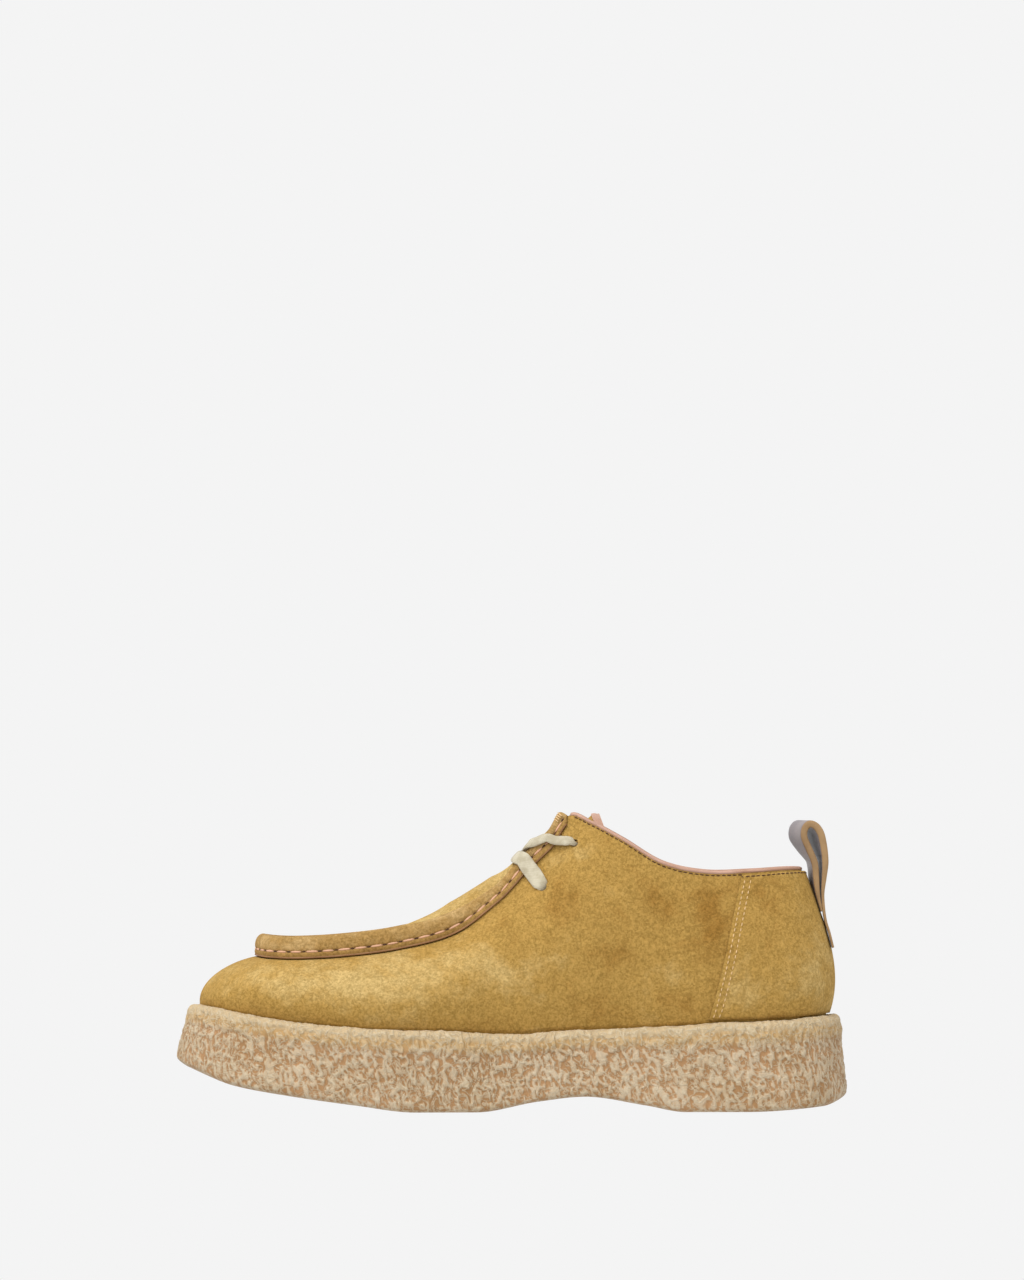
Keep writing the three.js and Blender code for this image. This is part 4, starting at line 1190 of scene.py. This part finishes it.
# %% Insole and tongue
def insole():
    turns = np.arange(360) / 360
    near, _ = plan(turns, 0)
    inset = FLARE + ledge_at(near[:, 0]) + WALL + 3 * CLEARANCE
    loops = []
    for lift, further in ((CLEARANCE, 0), (CLEARANCE + INSOLE_WALL - 1, 0), (CLEARANCE + INSOLE_WALL, 1)):
        loop, _ = plan(turns, inset + further)
        loop[:, 2] = top_at(loop[:, 0]) + lift
        loops.append(loop)
    faces = grid_faces(3, 360, close_columns=True)
    for base in (0, 720):
        for i in range(180):
            faces.append((base + i, base + (360 - i) % 360, base + 360 - i - 1, base + i + 1))
    return mesh_object("footbed", np.concatenate(loops), faces)


TONGUE_SLOPE = 0.4
TONGUE_COLUMNS = ("middle", "rise", "half", "drop")
TONGUE_ROWS = np.array((
    (0.425, 0.505, 0.3, 0.17),
    (0.483, 0.634, 0.33, 0.22),
    (0.527, 0.765, 0.34, 0.225),
    (0.573, 0.872, 0.35, 0.215),
    (0.604, 0.94, 0.36, 0.18),
    (0.625, 0.998, 0.33, 0.12),
))


LEAF_END = 0.97
BINDING_FROM = 0.94
BINDING_OVER = 0.5
BINDING_BEND = (1.4, -1.8)


def tongue_point(share_up, share_across):
    values = open_spline(TONGUE_ROWS, share_up)
    middle, rise, half, drop = (values[..., k] for k in range(4))
    x = lengthwise(middle)
    down = share_across**2 * drop * HALF_WIDTH
    return np.stack([x + down * TONGUE_SLOPE, share_across * half * HALF_WIDTH,
                     top_at(x) + rise * INSTEP_HEIGHT - down], -1)


def tongue():
    up, side = np.meshgrid(np.linspace(0, LEAF_END, 40), np.linspace(-1, 1, 25), indexing="ij")
    made = mesh_object("tongue_leaf", tongue_point(up, side).reshape(-1, 3), grid_faces(40, 25))
    add_modifier(made, "SOLIDIFY", thickness=TONGUE_WALL * MM, offset=-1)
    return made


def tongue_binding():
    """Leather folded over the tongue's top edge, a little proud of it, and bent back at the end."""
    up, side = np.meshgrid(np.linspace(BINDING_FROM, 1, 8), np.linspace(-1, 1, 33), indexing="ij")
    points = tongue_point(up, side)
    way = unit(points[-1] - points[-2])
    points[-1] += way * BINDING_OVER
    bent = ((up - BINDING_FROM) / (1 - BINDING_FROM)) ** 2
    points[..., 0] += BINDING_BEND[0] * bent
    points[..., 2] += BINDING_BEND[1] * bent
    ups = np.gradient(points, axis=0)
    out = unit(np.cross(np.gradient(points, axis=1), ups))
    out = out * np.sign(out[4, 16, 2])
    points = points + out * BINDING_OVER
    made = mesh_object("tongue_binding", points.reshape(-1, 3), grid_faces(8, 33))
    add_modifier(made, "SOLIDIFY", thickness=(TONGUE_WALL + 2 * BINDING_OVER) * MM, offset=-1)
    add_modifier(made, "BEVEL", width=0.8 * MM, segments=3)
    return made


hand_over(insole(), ["insole"], "lining", lining_leather)
hand_over(tongue(), ["tongue"], "suede", suede_body)
hand_over(tongue_binding(), ["tongue"], "trim", trim_leather)

# %% [markdown]
# ## Lace and pull loop
#
# Both are flat bands that follow a path. The lace is woven cotton, the loop a doubled leather strap.

# %% Flat bands
def band(name, stops, directions, widths, thickness, steps, section):
    """Sweeps a section, given in halves of the band's width and thickness, along a path."""
    shares = np.linspace(0, 1, steps)
    path = open_spline(stops, shares)
    wide = open_spline(directions, shares)
    width = np.interp(shares, np.linspace(0, 1, len(widths)), widths)[:, None]
    along = unit(np.gradient(path, axis=0))
    side = across(wide, along)
    face = np.cross(side, along)
    ring = [path + side * (s * width / 2) + face * (f * thickness / 2) for s, f in section]
    points = np.stack(ring, 1)
    count = len(section)
    faces = grid_faces(steps, count, close_columns=True)
    faces += [tuple(range(count)), tuple(range((steps - 1) * count, steps * count))]
    gone = np.concatenate([[0], np.cumsum(np.linalg.norm(np.diff(path, axis=0), axis=1))])
    return mesh_object(name, points.reshape(-1, 3), faces, lace_along=np.repeat(gone, count),
                       lace_across=width / 2 * [s for s, _ in section])


LACE_SECTION = [(math.copysign(abs(math.cos(a)) ** 0.75, math.cos(a)),
                 math.copysign(abs(math.sin(a)) ** 0.95, math.sin(a)) * 1.25)
                for a in np.linspace(0, 2 * math.pi, 16, endpoint=False)]


def by_edge(row, side, reach, out):
    turn = turn_of_row(row if side < 0 else 2 * TOE_ROW - row)
    if reach < 0:
        return on_wrap(turn, level_below(turn, -reach), out)
    return in_frame(edge_frame(turn, held_turn(turn, THROAT_GUIDE_ROW, TOE_ROW)), out, reach)


THROAT_LINE = by_edge(9, -1, 0, 0) - by_edge(11, -1, 0, 0)
THROAT_LINE = unit(THROAT_LINE * np.array([1, 0, 1]))
THROAT_OUT = np.array([-THROAT_LINE[2], 0, THROAT_LINE[0]])
LACE_LIFT = CLEARANCE + LACE_THICKNESS / 2
BAR_COLUMNS = ("row", "reach", "over", "width")
BAR_STOPS = (
    (LOWER_EYELET[0] - 0.04, -0.3 - LOWER_EYELET[1], -3.2, 0.5),
    (LOWER_EYELET[0], 0.2 - LOWER_EYELET[1], -1.4, 0.72),
    (LOWER_EYELET[0] + 0.05, 1.6 - LOWER_EYELET[1], -0.1, 0.95),
    (9.43, -17.4, 0.2, 1.08),
    (9.65, -11, 0.4, 1.15),
    (9.85, -4.6, 1.4, 1.12),
    (9.95, 1.4, 2.1, 1.05),
    (9.99, 4.2, 1.9, 1),
    (9.99, 5.7, 0.9, 0.95),
)
STRAND_STOPS = (
    (UPPER_EYELET[0] - 0.05, -UPPER_EYELET[1] + 0.2, -2.6, 0.2),
    (UPPER_EYELET[0] + 0.03, -UPPER_EYELET[1] - 0.2, -0.5, 0.36),
    (7.86, -13.2, 0.2, 0.6),
    (8.1, -12.4, 0.4, 0.74),
    (8.4, -9.8, 0.7, 0.72),
    (8.8, -5, 1.5, 0.66),
    (9.15, 0.5, 2, 0.62),
    (9.42, 3, 2.1, 0.6),
    (9.62, 5, 1.7, 0.6),
)


def lace_bar():
    near, far = ([by_edge(row, side, reach, LACE_LIFT + over * STRIP)
                  for row, reach, over, _ in BAR_STOPS] for side in (-1, 1))
    stops = np.array(near + far[::-1])
    half = [share * LACE_WIDTH for *_, share in BAR_STOPS]
    return band("lace_cross_bar", stops, np.tile(THROAT_LINE, (len(stops), 1)), half + half[::-1],
                LACE_THICKNESS, 160, LACE_SECTION)


def lace_strand(side, name):
    stops = [by_edge(row, side, reach, LACE_LIFT + over * STRIP) for row, reach, over, _ in STRAND_STOPS]
    row, reach, over, _ = BAR_STOPS[-1]
    tuck = by_edge(row, -1, reach, LACE_LIFT + over * STRIP) * np.array([1, 0, 1])
    tuck = tuck - THROAT_OUT * (LACE_THICKNESS + 2 * CLEARANCE)
    fold = tuck + THROAT_LINE * LACE_WIDTH * 0.55 + np.array([0, side * LACE_WIDTH * 0.95, 0])
    end = tuck - THROAT_LINE * LACE_WIDTH * 0.1 + np.array([0, side * LACE_WIDTH * 0.3, 0])
    sideways = unit(np.array([0, -side, 0]) - THROAT_OUT * 0.9)
    directions = [THROAT_LINE] * len(stops) + [sideways, sideways]
    widths = [share * LACE_WIDTH for *_, share in STRAND_STOPS] + [LACE_WIDTH * 0.66] * 2
    return band(name, np.array(stops + [fold, end]), np.array(directions), widths,
                LACE_THICKNESS, 110, LACE_SECTION)


hand_over(lace_bar(), ["lace_bar"], "lace", lace_cotton)
hand_over(lace_strand(-1, "lace_strand_outer"), ["lace_strands"], "lace", lace_cotton)
hand_over(lace_strand(1, "lace_strand_inner"), ["lace_strands"], "lace", lace_cotton)

# %% Pull loop
LOOP_HEEL_COLUMNS = ("level", "thick")
LOOP_ON_HEEL = ((0.46, 0.48), (0.56, 0.52), (0.65, 0.58))
LOOP_COLUMNS = ("back", "above", "thick")
LOOP_STOPS = ((0.435, -0.5, 0.65), (0.462, -0.17, 1.0), (0.487, 0.15, 1.35), (0.46, 0.47, 1.45),
              (0.39, 0.77, 1.5), (0.29, 0.91, 1.5), (0.171, 0.95, 1.5), (0.08, 0.87, 1.45),
              (0.055, 0.7, 1.4), (0.15, 0.45, 1.4), (0.27, 0.15, 1.4), (0.3, -0.17, 1.3),
              (0.338, -0.5, 0.9), (0.415, -0.84, 0.35))
TWIST_FROM = -0.16
TWIST_TO = 0.7
TWIST_LOW = 0.38
LOOP_RINGS = 150


def pull_loop():
    sit = CLEARANCE + COUNTER_WALL + 0.15
    collar = closed_spline(RIB_LOOPS[3], np.array(0.0))
    middles = [on_wrap(np.array(0.0), level, sit + LOOP_THICKNESS * thick / 2)
               for level, thick in LOOP_ON_HEEL]
    middles += [collar + np.array([back, 0, above]) * LOOP_HEIGHT for back, above, _ in LOOP_STOPS]
    shares = np.linspace(0, 1, LOOP_RINGS)
    path = open_spline(np.array(middles), shares)
    along = unit(np.gradient(path, axis=0))
    face = np.stack([along[:, 2], np.zeros(len(path)), -along[:, 0]], -1)
    above = (path[:, 2] - collar[2]) / LOOP_HEIGHT
    low = np.maximum(smooth_step(shares, 0.55, 0.7), smooth_step(above, -0.8, -0.35))
    lean = LOOP_TWIST * np.maximum(smooth_step(above, TWIST_FROM, TWIST_TO), TWIST_LOW * low)
    columns = np.linspace(-1, 1, 13)
    thick = [share for *_, share in (*LOOP_ON_HEEL, *LOOP_STOPS)]
    half = LOOP_THICKNESS / 2 * np.interp(shares, np.linspace(0, 1, len(thick)), thick)[:, None]
    section = [(-1, -0.6), *((s, -1) for s in columns * 0.97), (1, -0.6), (1, 0.6),
               *((s, 1) for s in columns[::-1] * 0.97), (-1, 0.6)]
    ring = []
    for s, f in section:
        corner = path + face * (f * half)
        corner[:, 1] = s * LOOP_WIDTH / 2
        corner[:, 0] -= lean * (s + 1) / 2
        ring.append(corner)
    points = np.stack(ring, 1)
    count = len(section)
    faces = grid_faces(len(path), count, close_columns=True)
    faces += [tuple(range(count)), tuple(range((len(path) - 1) * count, len(path) * count))]
    made = mesh_object("heel_pull_loop", points.reshape(-1, 3), faces)
    made.data.materials.append(strap_face)
    made.data.materials.append(strap_edge)
    for face_ in made.data.polygons:
        sidewise = abs(face_.normal.y) > 0.45
        face_.material_index = 1 if sidewise else 0
    return made


hand_over(pull_loop(), ["pull_loop"], "strap")

# %% [markdown]
# ## Studio
#
# The photo's ground shows neither a horizon nor a shadow. So the floor glows with the tone of the even
# sky, like a light table, and two very soft suns give the shoe its form.

# %% Studio
PAPER_TONE = 0.905
SUNS = (("overhead", 1.7, 50, (-0.5, -0.55, 1.5)), ("front", 0.8, 60, (-0.7, -1.6, 0.7)))


def studio():
    points = [(-60, -20, 0), (60, -20, 0), (60, 160, 0), (-60, 160, 0)]
    made = mesh_object("studio_floor", np.array(points) / MM, [(0, 1, 2, 3)])
    paper = new_material("studio_paper", Base_Color=(0, 0, 0, 1), Roughness=1.0, Specular_IOR_Level=0.0,
                         Emission_Color=(1, 1, 1, 1), Emission_Strength=PAPER_TONE)[0]
    made.data.materials.append(paper)


def sun(name, power, softness, way):
    data = bpy.data.lights.new(name, "SUN")
    data.energy = power
    data.angle = math.radians(softness)
    made = bpy.data.objects.new(name, data)
    made.rotation_euler = Vector(way).to_track_quat("Z", "Y").to_euler()
    scene.collection.objects.link(made)


studio()
for setting in SUNS:
    sun(*setting)
world = bpy.data.worlds.new("studio_sky")
world.use_nodes = True
world.node_tree.nodes["Background"].inputs["Color"].default_value = (1, 1, 1, 1)
world.node_tree.nodes["Background"].inputs["Strength"].default_value = PAPER_TONE
scene.world = world
scene.view_settings.view_transform = "Standard"
